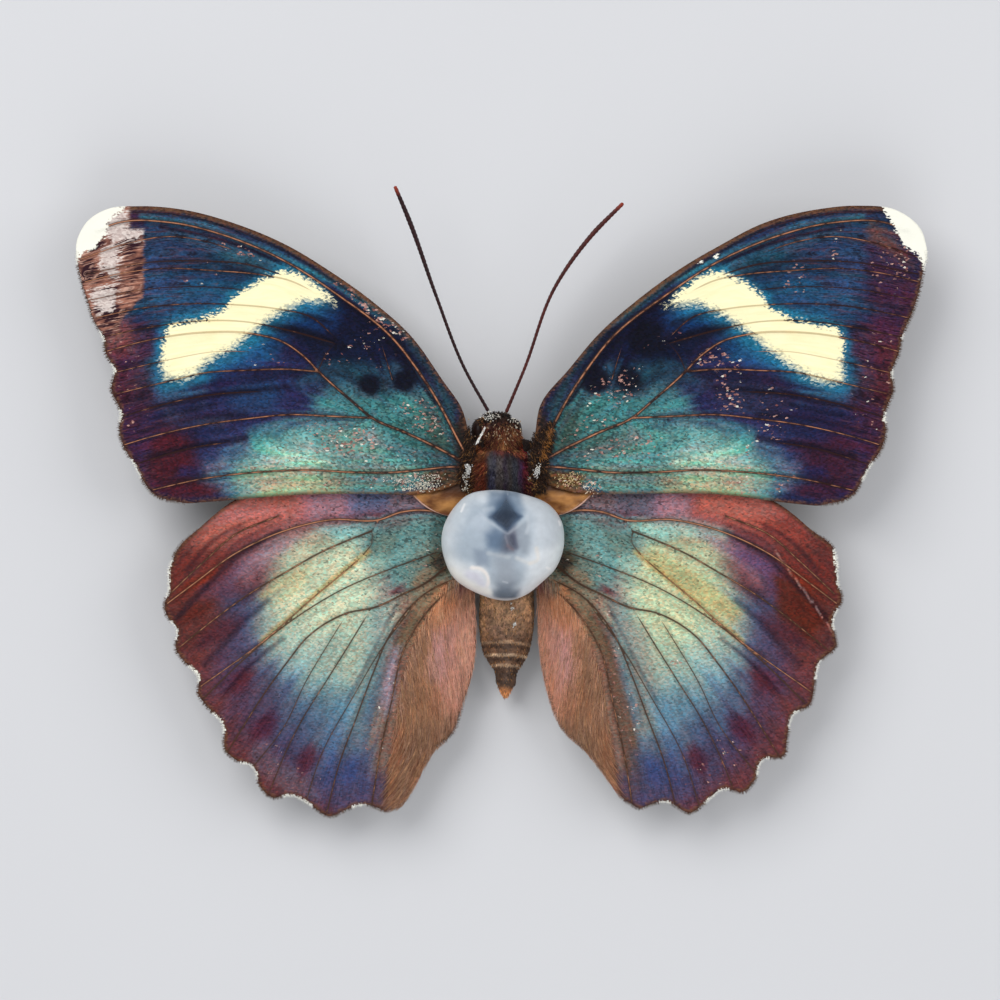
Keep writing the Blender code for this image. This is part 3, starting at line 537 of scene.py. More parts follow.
forewingSpots = {
    "left": [((12.3, 10.9), 1), ((9.2, 11.2), 1.05)],
    "right": [((11.8, 11.4), 1.2), ((8.8, 11.2), 1.3), ((13.4, 15.2), 1.6)],
}
# Dark soft strokes between the veins and beside them: path, half width, strength
forewingStrokes = [
    ([(15, 14.4), (18.5, 15.7), (22.5, 16.5)], 0.4, 0.8),
    ([(16, 16.6), (18, 17.2), (20.5, 17.4)], 0.22, 0.6),
    ([(18, 12), (21, 11.6), (26, 11.3), (31, 10.6)], 0.35, 0.5),
    ([(20, 10.6), (26, 10), (33, 8.6)], 0.25, 0.6),
    ([(27, 16.9), (30, 16.7), (34, 16)], 0.25, 0.5),
    ([(22, 21.7), (27, 22.3), (33, 22.3)], 0.16, 0.2),
    ([(22, 20.9), (26, 21.8)], 0.2, 0.5),
    ([(24, 8), (29, 7.6), (34, 6.4)], 0.25, 0.45),
    ([(24, 5.8), (28, 5.2), (33, 4)], 0.25, 0.6),
    ([(27, 9), (33, 7.6)], 0.2, 0.4),
    ([(12, 16.4), (16, 19.3), (20, 21.8), (26, 24.3), (32, 25.6)], 0.16, 0.8),
    ([(6.2, 9), (8.6, 12.4), (11, 15.2)], 0.14, 0.7),
    ([(28, 2.4), (32, 1.6)], 0.3, 0.4),
    ([(33, 13), (37, 12.3)], 0.2, 0.5),
    ([(33, 9.7), (36.4, 9)], 0.2, 0.5),
    ([(33, 18.9), (38.8, 17.8)], 0.2, 0.4),
]
forewingFlecks = [  # where scales are rubbed off: side, outline, feather, share
    ("left", [(5.6, 0.9), (5.6, 2.7), (10, 2.5), (10.6, 1.6), (9, 0.8)], 0.5, 0.9),
    ("left", [(10, 12), (17.4, 12), (17, 14.2), (12, 17), (9, 14.5)], 1, 0.25),
    ("left", [(15.6, 12.8), (16.4, 14), (17, 13.6), (16.2, 12.6)], 0.25, 0.9),
    ("left", [(4.5, 5), (6.5, 10), (10, 9.4), (9, 6)], 1, 0.66),
    ("left", [(11, 3.8), (12, 7), (18.4, 7.2), (18.4, 3.8)], 1, 0.72),
    ("left", [(5, 3.2), (5, 4), (13, 6.4), (14, 3.4)], 0.6, 0.45),
    ("left", [(9, 1), (17, 1), (17, 2.4), (9, 2.4)], 0.5, 0.5),
    ("left", [(24, 22), (26.5, 24.4), (24, 24.2), (22.4, 22.2)], 0.5, 0.6),
    ("left", [(26, 20), (32, 20), (32, 24.6), (26, 24.4)], 1, 0.15),
    ("left", [(20, 12.5), (24, 12.5), (24, 14.5), (20, 14)], 0.6, 0.35),
    ("left", [(9, 14.4), (14, 18.6), (16.5, 20.6), (14, 20.2), (8, 15)], 0.3, 0.9),
    ("left", [(22.5, 2.2), (27.6, 2.4), (27.6, 3.4), (22.5, 3)], 0.4, 0.45),
    ("right", [(20, 8), (20.4, 13.4), (22.4, 13.4), (22.6, 8)], 0.8, 0.7),
    ("right", [(22.7, 2), (22.8, 5.6), (23.3, 5.6), (23.3, 2)], 0.25, 0.8),
    ("right", [(24, 7), (24.4, 12), (25.4, 12), (25.2, 7)], 0.4, 0.4),
    ("right", [(22, 4), (24, 8), (28, 10), (27, 6)], 0.8, 0.45),
    ("right", [(25.6, 19.6), (27, 23), (28.6, 22.6), (28.6, 19.6)], 0.6, 0.6),
    ("right", [(30.4, 22), (31, 25), (31.6, 25), (31.6, 22)], 0.3, 0.6),
    ("right", [(5, 1.2), (5, 2.8), (7.4, 2.6), (9.6, 1.6), (9, 0.8), (7, 0.8)], 0.5, 0.9),
    ("right", [(7.4, 8.8), (9, 12), (13, 12.4), (12.8, 9.4), (9, 8.6)], 0.6, 0.6),
    ("right", [(5, 5), (8, 8.8), (11, 7.4)], 0.8, 0.6),
    ("right", [(6, 3.4), (7, 5), (14, 6.6), (16, 3.4)], 0.8, 0.55),
    ("right", [(34, 22), (36, 25), (38.6, 23.6), (39.4, 20.4), (36, 19.6)], 0.8, 0.55),
    ("right", [(17, 12.2), (19, 14.6), (22.6, 13.6), (21, 12.3)], 0.5, 0.65),
    ("right", [(13, 14.4), (16, 16), (18.4, 14.2)], 0.5, 0.45),
    ("right", [(22, 0.5), (28, 0.8), (27.6, 2.8), (22, 2.4)], 0.5, 0.5),
    ("both", [(33.4, 5), (36, 6), (37.5, 15), (35, 16), (33.4, 12)], 0.8, 0.3),
]
wornPatches = [
    [(35, 27.2), (37, 26.8), (37.6, 25), (36.4, 24.3), (35.3, 24.4), (33, 24.7), (31.6, 25), (33.4, 25.5),
        (35.2, 25.6)],
    [(35.9, 24), (37.4, 23.7), (37.8, 22.6), (37.4, 21.3), (36.2, 20.9)],
    [(36.2, 20.3), (38.6, 19.4), (38.4, 18.9), (37.9, 17.6), (36.8, 17.3), (36.2, 18.6)],
]
hindwingAreas = [
    ("both", (74, 56, 82), [(28, -13.5), (25, -22), (18, -28), (12, -30), (8.5, -29), (12, -25), (18, -23),
        (22, -18.5), (25, -13.5)], 2, 1, 0.9),
    ("both", (92, 44, 38), [(32, -3), (32.5, -10), (31, -14.5), (28.4, -15.5), (26.6, -12.5), (26.4, -9),
        (26, -4)], 1.8, 1, 0.85),
    ("both", (68, 66, 92), [(23.6, -8.6), (25.8, -9.2), (25.8, -12.4), (24.4, -17), (21.8, -22.2),
        (19.2, -26), (15, -28.6), (10.6, -28.6), (10, -20), (14, -12)], 2, 1, 0.95),
    ("both", (82, 98, 118), [(21.4, -9), (23.4, -10.2), (23, -13.2), (21.6, -17), (19.4, -21.2),
        (17.2, -24.4), (12.6, -25), (10.8, -20), (12, -12)], 1.8, 1, 0.95),
    ("both", (100, 130, 140), [(20.4, -9), (21.8, -10.4), (21, -13), (19.6, -16.6), (17.2, -20),
        (13.6, -21.6), (11, -17), (11, -11)], 1.8, 1, 0.9),
    ("right", (104, 134, 146), [(19, -14), (22.6, -14.6), (21.6, -18), (17, -21), (13, -22), (12, -17)],
        1.4, 0.9, 0.8),
    ("both", (152, 170, 154), [(14, -4), (20, -6.4), (22.4, -9), (22, -12.4), (20.4, -15.4), (17.8, -17.6),
        (13.6, -17.8), (10.6, -14), (10.4, -10)], 2, 0.8, 0.95),
    ("left", (182, 192, 160), [(13, -3), (17, -2.6), (20, -3.4), (22, -5.2), (21.4, -7.6), (20, -10.4),
        (17.6, -12.6), (14, -12.4), (12.2, -9)], 1.8, 0.8, 0.9),
    ("right", (182, 192, 152), [(13, -3), (17, -2.6), (20, -3.2), (21.4, -5), (21, -8), (19, -12),
        (16.4, -14.4), (12.5, -12), (12, -8)], 1.8, 0.8, 0.9),
    ("left", (176, 164, 118), [(18, -6), (21, -7), (23, -8.8), (22.2, -9.7), (20, -8.6), (18.4, -7.4)], 0.7,
        0.6, 0.7),
    ("left", (192, 206, 176), [(13.4, -6.2), (16, -8), (18.4, -10.2), (17, -11.2), (14, -9.6), (12.8, -8)],
        0.8, 0.6, 0.6),
    ("right", (158, 148, 96), [(13.6, -4.6), (17, -6), (20, -8), (22.6, -10.4), (21.6, -11.4), (18, -9.4),
        (14, -6.4)], 0.8, 0.6, 0.65),
    ("both", (120, 180, 178), [(11, -2), (15, -2.1), (17.5, -2.6), (15.4, -3.7), (12.5, -3.4)], 0.7, 0.5,
        0.7),
    ("both", (102, 146, 142), [(3, -1), (8, -1.3), (12.6, -2.2), (13.2, -4.2), (12, -6), (10.2, -8),
        (8.6, -9.8), (5, -9)], 1.1, 0.9, 0.95),
    ("both", (92, 108, 96), [(9.6, -2.8), (12.4, -3.2), (12.6, -4.8), (10.4, -5.2)], 0.6, 0.5, 0.6),
    ("both", (108, 110, 96), [(3, -3), (7, -3.8), (8.6, -6), (9, -8.6), (5, -9)], 1.4, 1, 0.7),
    ("both", (112, 132, 130), [(9, -8.6), (12, -10), (12.4, -14), (13.2, -18), (11.6, -18), (10, -13)], 1,
        0.8, 0.7),
    ("right", (150, 186, 168), [(11.6, -2.2), (13, -1.6), (16, -1.4), (19, -1.8), (21.4, -2.9), (21, -4),
        (17, -3.4), (12.4, -3.2)], 0.5, 0.5, 0.85),
    ("both", (144, 112, 122), [(18.6, -2.8), (22.4, -4), (24.6, -5.8), (25.4, -7.8), (23.8, -8),
        (21.6, -5.8)], 0.9, 0.9, 0.75),
    ("both", (94, 102, 134), [(4, 1), (15, 2.6), (15, -1.6), (9, -0.9), (5, -0.7)], 0.9, 0.3, 0.95),
    ("right", (106, 90, 92), [(4, 1), (14.6, 2.6), (14.6, -1.6), (9, -0.9), (5, -0.7)], 0.9, 0.3, 0.6),
    ("both", (128, 100, 98), [(6.4, 1), (10.6, 1), (10.8, -0.8), (7, -0.8)], 0.5, 0.3, 0.6),
    ("both", (168, 110, 122), [(14.6, 2.6), (20.4, 2.4), (20.4, -2.2), (18, -1.9), (14.6, -1.5)], 1.6, 0.4,
        0.9),
    ("both", (150, 122, 132), [(14.8, 0.8), (18, 0.8), (18, -1.8), (14.8, -1.6)], 0.8, 0.3, 0.55),
    ("left", (170, 96, 82), [(19, 2), (25, 0.8), (28.4, -2.2), (29, -4.4), (26.4, -4.2), (23.5, -3),
        (19, -2)], 1.5, 0.9, 0.9),
    ("right", (134, 60, 50), [(18, 2), (25, 0.8), (28.4, -2.2), (29, -4.4), (26.4, -4), (23, -2.4),
        (18, -1.4)], 1.2, 0.9, 0.9),
    ("right", (182, 104, 90), [(18, 1.4), (24.6, 0.6), (26, -1.4), (23.4, -2.4), (19, -1.6)], 1, 0.8, 0.75),
    ("left", (104, 86, 94), [(24.8, -21.6), (23, -25), (20.4, -27.6), (17.6, -28), (18, -26), (21, -25),
        (22.8, -22)], 0.8, 1, 0.6),
    ("right", (78, 100, 126), [(21.4, -16.6), (23.4, -17), (22.4, -20.8), (20.4, -21.4)], 0.8, 0.8, 0.7),
    ("right", (124, 122, 116), [(10.8, -10.6), (13.4, -12), (14.4, -17), (14.2, -22), (12.6, -22),
        (11.8, -16)], 0.8, 0.8, 0.55),
    ("left", (190, 112, 108), [(20, -0.6), (22, -0.3), (25.8, -1.4), (26.6, -2.2), (23.4, -1.9),
        (20.4, -1.6)], 0.4, 0.7, 0.6),
    ("both", (104, 44, 40), [(26, -5.2), (31.6, -5), (32, -9), (30, -9.4), (26, -6.8)], 0.9, 0.9, 0.7),
    ("left", (96, 62, 84), [(24.8, -6), (28.4, -8), (28, -9.6), (25, -8.4)], 0.9, 0.8, 0.5),
    ("right", (88, 58, 88), [(21.6, -3.8), (25, -5.2), (28, -8), (28, -10.6), (25.4, -8.8), (22.4, -5.6)],
        0.9, 0.9, 0.75),
    ("right", (86, 32, 18), [(25.8, -7.4), (28.6, -7.2), (30.6, -11.2), (28.6, -13.4), (26.2, -10.8)], 0.8,
        0.9, 0.85),
    ("both", (134, 106, 84), [(6, -8.6), (9, -11), (11, -16), (12.2, -21), (12.6, -26), (10, -26), (8, -20),
        (6, -13)], 0.9, 0.8, 0.7),
    ("both", (104, 88, 66), [(6, -7), (7.4, -8.6), (9.6, -12), (10.6, -14.6), (9.8, -15), (8, -12.4),
        (6.2, -9.2)], 0.5, 0.5, 0.8),
    ("left", (138, 128, 150), [(9.5, -13.6), (10.5, -13.8), (11.5, -18.6), (10.9, -20.6), (10.1, -18.6)],
        0.5, 0.6, 0.65),
    ("right", (88, 64, 50), [(9.4, -12.6), (10.2, -13), (11.6, -18), (12.9, -23), (13.4, -27), (12, -28),
        (11.2, -23), (10.2, -18)], 0.5, 0.5, 0.7),
    ("both", (48, 66, 114), [(12.4, -23.8), (15.8, -24), (16.4, -26.6), (13, -26.8)], 0.9, 0.6, 0.65),
    ("both", (78, 68, 96), [(9.8, -25.8), (12.8, -25.6), (13.4, -28.6), (10.6, -28.4)], 1.2, 0.6, 0.6),
    ("both", (140, 98, 72), [(2, -7.4), (5.6, -7.8), (7.8, -12), (9.2, -18), (10.4, -24), (10, -30),
        (7, -27), (2, -18)], 0.8, 0.6, 0.95),
    ("left", (188, 140, 126), [(2, -9), (5, -9.4), (6.4, -13), (6, -18), (4, -20.5), (2.2, -15)], 1.2, 0.5,
        0.8),
    ("right", (182, 132, 112), [(2, -9), (5, -9.4), (6.8, -13), (6.8, -18), (4.6, -20.5), (2.2, -15)], 1.2,
        0.5, 0.8),
    ("both", (108, 68, 48), [(6.8, -22.6), (9.4, -20), (10.4, -25), (11.6, -29), (9, -28.6), (6.4, -24.6)],
        1.3, 0.6, 0.75),
    # painted shade on the hindwing beside the dome
    ("both", (62, 82, 78), [(5, -1.4), (6.4, -1.6), (6.8, -3.4), (6.5, -5), (5, -5)], 0.5, 0.4, 0.7),
    ("both", (66, 50, 32), [(5, -4.8), (6.4, -4.8), (6.9, -6.2), (6, -7), (5, -7)], 0.5, 0.5, 0.75),
    ("both", (134, 112, 88), [(6.3, -6.2), (8, -6.8), (9.2, -9), (9, -11), (7.4, -10.4), (6, -8)], 0.5, 0.7,
        0.75),
    ("both", (150, 136, 112), [(8.8, -8.4), (10, -8.8), (10.4, -11), (9.8, -12.6), (9, -11)], 0.5, 0.7,
        0.65),
    ("left", (158, 164, 148), [(9.8, -8.8), (11.2, -9), (11.4, -12.6), (10.4, -13.4), (9.9, -11)], 0.5, 0.7,
        0.7),
    ("both", (154, 186, 166), [(10.8, -5.2), (12.2, -5.4), (12.4, -8.4), (10.9, -7.6)], 0.5, 0.6, 0.6),
    ("both", (196, 130, 86), [(4.4, -8), (5.8, -8.2), (6.6, -10.6), (5.6, -12), (4.4, -10.5)], 0.6, 0.5,
        0.6),
    ("right", (206, 146, 120), [(6, -10.6), (7.2, -11), (7.6, -14), (6.2, -14)], 0.5, 0.5, 0.6),
    # painted sheen and highlights on the inner fold: a lilac sheen, a pale streak and a small orange glint
    ("both", (192, 150, 156), [(4.8, -10.4), (6.6, -12), (7.2, -15.4), (5.8, -16.8), (4.9, -13)], 0.9, 0.4,
        0.65),
    ("left", (222, 178, 154), [(3, -10.6), (3.8, -10.6), (4, -14.6), (3.1, -15)], 0.5, 0.3, 0.45),
    ("left", (255, 206, 164), [(5.4, -9.5), (5.8, -9.5), (6, -10.5), (5.7, -10.6)], 0.3, 0.1, 0.8),
]
hindwingBlotches = [  # dark spots between the veins: centre, reach along and across the scales, colour
    ((24.6, -16.8), 1.9, 1.1, (76, 22, 32)),
    ((22.2, -21.4), 1.9, 1.1, (70, 20, 34)),
    ((18.2, -24.5), 1.7, 1.1, (74, 22, 36)),
    ((26.4, -12.4), 2.6, 1.1, (70, 32, 42)),
    ((28.4, -7.6), 2.8, 0.5, (116, 44, 26)),
    ((28.8, -10.4), 2.6, 0.7, (82, 30, 22)),
]
hindwingStrokes = [
    ([(24.6, -2.5), (27, -3.7), (29.6, -6.6)], 0.2, 0.3),
    ([(21, -2.9), (25, -5.4), (28, -8.4), (30.6, -11.2)], 0.25, 0.45),
    ([(4, -4), (6, -6)], 0.4, 0.3),
    ([(20.5, -13), (23, -15), (26, -18)], 0.18, 0.35),
    ([(10, -10), (12, -14), (14.6, -19)], 0.15, 0.25),
    ([(22, -9.4), (25, -12.4), (28, -15.4)], 0.25, 0.35),
]
hindwingFlecks = [
    ("both", [(5, -3), (12, -5), (13, -8), (9, -9), (5, -6)], 1, 0.25),
    ("both", [(10, -13), (11.4, -17), (13, -24), (11, -26), (9.6, -18)], 0.6, 0.35),
    ("left", [(17, -9.5), (19, -12.6), (16.6, -13), (15.6, -11)], 0.5, 0.3),
    ("right", [(15.4, -14.4), (17, -14.6), (16.8, -15.8), (15.6, -15.6)], 0.4, 0.9),
    ("right", [(9, -9), (10.6, -9.4), (13, -18), (13.4, -24.4), (12, -22), (10.4, -15)], 0.4, 0.45),
    ("both", [(21, -22), (24.5, -23.6), (21, -27), (16, -27.6), (17, -25)], 0.8, 0.25),
]
hindwingCrease = [(12.6, -4.9), (15, -6.8), (18, -9.3), (20, -11.1), (22.5, -13.2)]
hindwingScratch = [(25.6, -4.8), (28.4, -8.6), (31.2, -12.6)]


def brushed(colours, mask, colour):
    colour = np.array(colour, dtype=float)
    return colours + mask[:, None] * (colour - colours)


def layered(colours, layers):
    for mask, colour in layers:
        colours = brushed(colours, mask, colour)
    return colours


def scaleFlow(points, lines):
    # u runs along the scales from the root, v counts the lines across
    weights = np.zeros(len(points))
    numbers = np.zeros(len(points))
    for line in lines:
        weight = 1 / (lineDistance(points, line[0]) ** 1.4 + 0.02)
        weights += weight
        numbers += weight * line[5]
    u = np.linalg.norm(points - np.array((3.0, 3.0)), axis=1)
    return u, numbers / weights


def nearestLine(points, lines):
    # millimetres from the nearest line, its half width, tone and height
    closest = np.full(len(points), 99.0)
    nearest = np.full(len(points), 99.0)
    width = np.zeros(len(points))
    tone = np.zeros(len(points))
    height = np.zeros(len(points))
    for table, first, last, lineTone, lineHeight, _ in lines:
        line = smoothLine(table, step=0.6)
        gap = lineDistance(points, line)
        share = np.clip((points[:, 0] - line[0][0]) / (line[-1][0] - line[0][0]), 0, 1)
        half = first + (last - first) * share
        if first < 0.065:
            half *= ease(0, 2, np.linalg.norm(points - line[0], axis=1))
        closer = gap - 1.5 * half < closest
        closest = np.where(closer, gap - 1.5 * half, closest)
        nearest = np.where(closer, gap, nearest)
        width = np.where(closer, half, width)
        tone = np.where(closer, lineTone, tone)
        height = np.where(closer, lineHeight, height)
    return nearest, width, tone, height


def areaPaint(colours, points, side, areas, streak):
    for where, colour, loop, feather, ragged, strength in areas:
        if where in (side, "both"):
            edge = depthInside(points, loop) + ragged * streak
            colours = brushed(colours, strength * ease(-feather, feather, edge), colour)
    return colours


def strokePaint(colours, points, strokes, streak):
    for path, half, strength in strokes:
        gap = lineDistance(points, smoothLine(path, step=0.5)) + 0.2 * half * streak
        colours = brushed(colours, strength * ease(2.0 * half, 0.3 * half, gap), (14, 12, 28))
    return colours


def fleckShare(points, side, zones, streak):
    share = np.zeros(len(points))
    for where, loop, feather, amount in zones:
        if where in (side, "both"):
            depth = depthInside(points, loop) + 0.4 * streak
            share = np.maximum(share, amount * ease(-feather, feather, depth))
    return share


def forewingPaint(points, side, flow, edge):
    out, y = points.T
    u, v = flow
    streak = softNoise(u * 0.3, v * 5.0, 3)
    fine = softNoise(u * 0.5, v * 13.0, 8)
    wide = softNoise(u * 0.12, v * 1.7, 9)
    colours = plain((34, 33, 68), len(points))
    colours = areaPaint(colours, points, side, forewingAreas, streak)
    colours = strokePaint(colours, points, forewingStrokes, streak)
    for centre, radius in forewingSpots[side]:
        gap = np.linalg.norm(points - np.array(centre), axis=1) + 0.25 * streak
        colours = brushed(colours, 0.9 * ease(radius + 0.4, radius - 0.4, gap), (10, 10, 24))
    colours *= (1 + 0.14 * wide + 0.12 * streak + 0.16 * fine)[:, None]
    # hues drift between violet, blue and green along the rows of scales
    drift = softNoise(u * 0.2, v * 3.1, 17)
    colours[:, 0] *= 1 + 0.22 * drift
    colours[:, 1] *= 1 - 0.12 * drift
    band = depthInside(points, creamBand[side])
    below = ease(0.5, -0.5, y - np.interp(out, (15, 20, 24, 28, 32), (18.6, 19.4, 17.2, 14.6, 13.4)))
    reach = 1.2 + 0.9 * below
    halo = ease(0, 1, 1 + (band + 0.5 * streak) / reach) * ease(14.5, 17.5, out)
    colours = brushed(colours, 0.9 * halo, (34, 118, 146))
    costal = ease(0, 1, y - (5 + (out - 3) * 0.54))
    brown = costal * ease(0.48, 0.3, edge + 0.06 * fine) * ease(7, 13, out)
    colours = brushed(colours, 0.9 * brown, (106, 76, 56))
    black = costal * ease(0.22, 0.08, np.abs(edge - 0.58)) * ease(8, 14, out)
    colours = brushed(colours, 0.7 * black, (16, 18, 26))
    return colours, band, fleckShare(points, side, forewingFlecks, streak), below


def foldStrands(points):
    # which way the hairs of the inner fold lean outward, and two noises drawn out along them
    out, y = points.T
    steps = np.linspace(-30, -6, 49)
    lean = np.interp(steps, (-28, -23, -19, -14, -8), (0.75, 0.4, -0.1, -0.25, 0.3))
    summed = np.cumsum(lean) * (steps[1] - steps[0]) / 6
    across = (out - 2.5) * np.exp(np.interp(y, steps, summed))
    turn = np.interp(y, steps, lean) * (out - 2.5) / 6
    return turn, softNoise(across * 3.0, y * 0.3, 81), softNoise(across * 7.5, y * 0.6, 83)


def hindwingPaint(points, side, flow, edge=None):
    # edge is there so that both wings' paints are called alike
    u, v = flow
    streak = softNoise(u * 0.3, v * 5.0, 5)
    fine = softNoise(u * 0.5, v * 13.0, 6)
    wide = softNoise(u * 0.12, v * 1.7, 4)
    colours = plain((96, 52, 56), len(points))
    colours = areaPaint(colours, points, side, hindwingAreas, streak)
    for centre, along, across, colour in hindwingBlotches:
        way = np.array(centre) - np.array((3.0, 3.0))
        way /= np.linalg.norm(way)
        offset = points - np.array(centre)
        reach = np.hypot(offset @ way / along, (offset[:, 0] * way[1] - offset[:, 1] * way[0]) / across)
        colours = brushed(colours, 0.65 * ease(1.35, 0.3, reach + 0.4 * streak), colour)
    colours = strokePaint(colours, points, hindwingStrokes, streak)
    crease = lineDistance(points, smoothLine(hindwingCrease, step=0.5))
    colours = brushed(colours, 0.7 * ease(0.5, 0.12, crease + 0.08 * streak), (178, 150, 92))
    if side == "right":
        scratch = lineDistance(points, smoothLine(hindwingScratch, step=0.5))
        colours = brushed(colours, 0.6 * ease(0.1, 0.04, scratch + 0.03 * streak), (196, 150, 140))
    colours *= (1 + 0.1 * wide + 0.08 * streak + 0.1 * fine)[:, None]
    inner = ease(-0.3, 0.5, depthInside(points, foldHairs["zone"]))
    broad, narrow = foldStrands(points)[1:]
    strands = narrow + 0.5 * broad
    colours = brushed(colours, inner * ease(0.1, 0.6, strands) * 0.5, (206, 156, 108))
    colours = brushed(colours, inner * ease(-0.1, -0.6, strands) * 0.4, (88, 54, 34))
    drift = softNoise(u * 0.2, v * 3.1, 19)
    outer = ease(16, 26, u)
    colours[:, 0] *= 1 + 0.12 * drift * outer
    colours[:, 2] *= 1 - 0.12 * drift * outer
    flecks = fleckShare(points, side, hindwingFlecks, streak)
    return colours, np.full(len(points), -9.0), flecks, np.zeros(len(points))


def wingPoints(loop, lines, step, jitter):
    # the loop, the crests of the lines, and points spread over the rest
    crests = []
    ties = []
    start = len(loop)
    border = closed(loop)
    for line in lines:
        crest = smoothLine(line[0], step=0.35)
        crest = crest[insideOf(crest, loop)]
        crest = crest[lineDistance(crest, border) > 0.15]
        ties += [(start + i, start + i + 1) for i in range(len(crest) - 1)]
        start += len(crest)
        crests.append(crest)
    low = loop.min(axis=0)
    high = loop.max(axis=0)
    xs, ys = np.meshgrid(np.arange(low[0], high[0], step), np.arange(low[1], high[1], step * 0.87))
    xs[1::2] += step / 2
    fill = columns(xs.ravel(), ys.ravel())
    fill += dice.uniform(-jitter, jitter, fill.shape) * step
    fill = fill[insideOf(fill, loop)]
    keep = lineDistance(fill, border) > 0.45 * step
    for crest in crests:
        keep &= lineDistance(fill, crest) > 0.4 * step
    return np.vstack([loop] + crests + [fill[keep]]), ties


def flatTriangles(points, count, ties):
    border = [(i, (i + 1) % count) for i in range(count)]
    made = delaunay_2d_cdt([Vector(p) for p in points], border + ties, [], 0, 1e-5, True)
    places = np.array([tuple(p) for p in made[0]])
    faces = np.array(made[2])
    faces = faces[insideOf(places[faces].mean(axis=1), points[:count])]
    first = {source: new for new, sources in enumerate(made[3]) for source in sources}
    return places, faces, np.array([first[i] for i in range(count)])


def pulledIn(loop, amount):
    along = unit(np.roll(loop, -1, axis=0) - np.roll(loop, 1, axis=0))
    inward = columns(-along[:, 1], along[:, 0])
    return loop + inward * np.asarray(amount)[:, None]


def rimWalls(upper, lower):
    # triangles between the rim of an upper sheet and the one below it
    upperNext = np.roll(upper, -1)
    lowerNext = np.roll(lower, -1)
    first = columns(upper, lower, lowerNext)
    return np.vstack((first, columns(upper, lowerNext, upperNext)))


def pleats(points, lines, edge):
    # how far the membrane sags between the veins
    gap = np.full(len(points), 99.0)
    for line in lines:
        gap = np.minimum(gap, lineDistance(points, smoothLine(line[0], step=0.8)))
    return wingForm["pleatDepth"] * ease(0, wingForm["pleatReach"], gap) * ease(0, 1.2, edge)


def wornShare(points):
    # how bare the worn tip of the left forewing is, from 0 to 1
    out, y = points.T
    start = 33.6 + 2.2 * ease(19.6, 16.4, y) + 0.25 * softNoise(out * 0.3, y * 3, 71)
    worn = ease(-0.15, 0.15, out - start) * ease(14.6, 16.4, y)
    return worn * (1 - ease(25.2, 25.6, y) * ease(35.2, 34.7, out))


def makeWing(name, side, lines, folds, paint, height, specks, finishes, isFore):
    sign = -1 if side == "left" else 1
    loop = smoothLoop(outlineOf(name), wingForm["outlineStep"]) * np.array((sign, 1))
    if sign < 0:
        loop = loop[::-1]
    # the fringe takes the last part of the scalloped margin
    if isFore:
        fringed = ease(29, 31, loop[:, 0]) * ease(24, 22, loop[:, 1])
    else:
        fringed = ease(-1.5, -5, loop[:, 1]) * ease(3.0, 3.8, loop[:, 0])
    outer = loop
    loop = pulledIn(loop, wingForm["inset"] * fringed)
    every = lines + folds
    points, ties = wingPoints(loop, every, wingForm["pointStep"], 0.22)
    places, faces, rim = flatTriangles(points, len(loop), ties)
    underPoints = wingPoints(loop, [], wingForm["underStep"], 0.15)[0]
    below, belowFaces, belowRim = flatTriangles(underPoints, len(loop), [])

    flow = scaleFlow(places, every)
    gap, width, tone, lift = nearestLine(places, every)
    border = closed(loop)
    edge = lineDistance(places, border)
    colours, band, flecks, soft = paint(places, side, flow, edge)
    z = height(places[:, 0], places[:, 1]) + wingForm["thickness"] / 2 - pleats(places, lines, edge)
    z += lift * np.clip(1 - gap / 0.24, 0, 1) * ease(0, 0.4, edge)
    z += 0.02 * softNoise(places[:, 0] * 0.5, places[:, 1] * 0.5, 2)

    white = np.full(len(places), -9.0)
    for stroke, halfWidth in specks[side]:
        white = np.maximum(white, halfWidth - lineDistance(places, stroke))
    pale = np.full(len(places), -9.0)
    worn = np.zeros(len(places))
    if isFore:
        white = np.maximum(white, depthInside(places, whiteTip[side]))
        if side == "left":
            worn = wornShare(places)
            for patch in wornPatches:
                pale = np.maximum(pale, depthInside(places, patch))

    belowEdge = lineDistance(below, border)
    belowZ = height(below[:, 0], below[:, 1]) - wingForm["thickness"] / 2 - pleats(below, lines, belowEdge)
    count = len(places)
    allPlaces = np.vstack((columns(places, z), columns(below, belowZ)))
    allPlaces[:, 0] *= sign
    triangles = np.vstack((faces, belowFaces[:, ::-1] + count, rimWalls(rim, belowRim + count)))
    if sign < 0:
        triangles = triangles[:, ::-1]
    mesh = makeMesh(name + "_surface", allPlaces * mm, triangles)
    slots = np.zeros(len(triangles), dtype=np.int32)
    slots[len(faces):] = 1
    mesh.polygons.foreach_set("material_index", slots)

    def addBoth(field, upper, lower):
        addField(mesh, field, np.vstack((upper, lower)))

    zeros = np.zeros(len(below))
    belowFlow = scaleFlow(below, every)
    belowLines = nearestLine(below, every)[:3]
    belowMarks = columns(zeros - 9, zeros - 9, belowEdge)
    addBoth("paint", linear(colours), linear(plain((120, 104, 74), len(below))))
    addBoth("marks", columns(band, white, edge), belowMarks)
    addBoth("flow", columns(*flow, worn), columns(*belowFlow, zeros))
    addBoth("lines", columns(gap, width, tone), columns(*belowLines))
    addBoth("wear", columns(flecks, pale, soft), columns(zeros, zeros - 9, zeros))
    addPiece(name + "_dressed", mesh, finishes, [name])
    return outer, fringed


wingLooks = {
    "forewing": {"speck": 0.36, "streaks": 1.0, "veinTint": (44, 24, 20)},
    "hindwing": {"speck": 0.27, "streaks": 0.4, "veinTint": (66, 46, 34)},
}


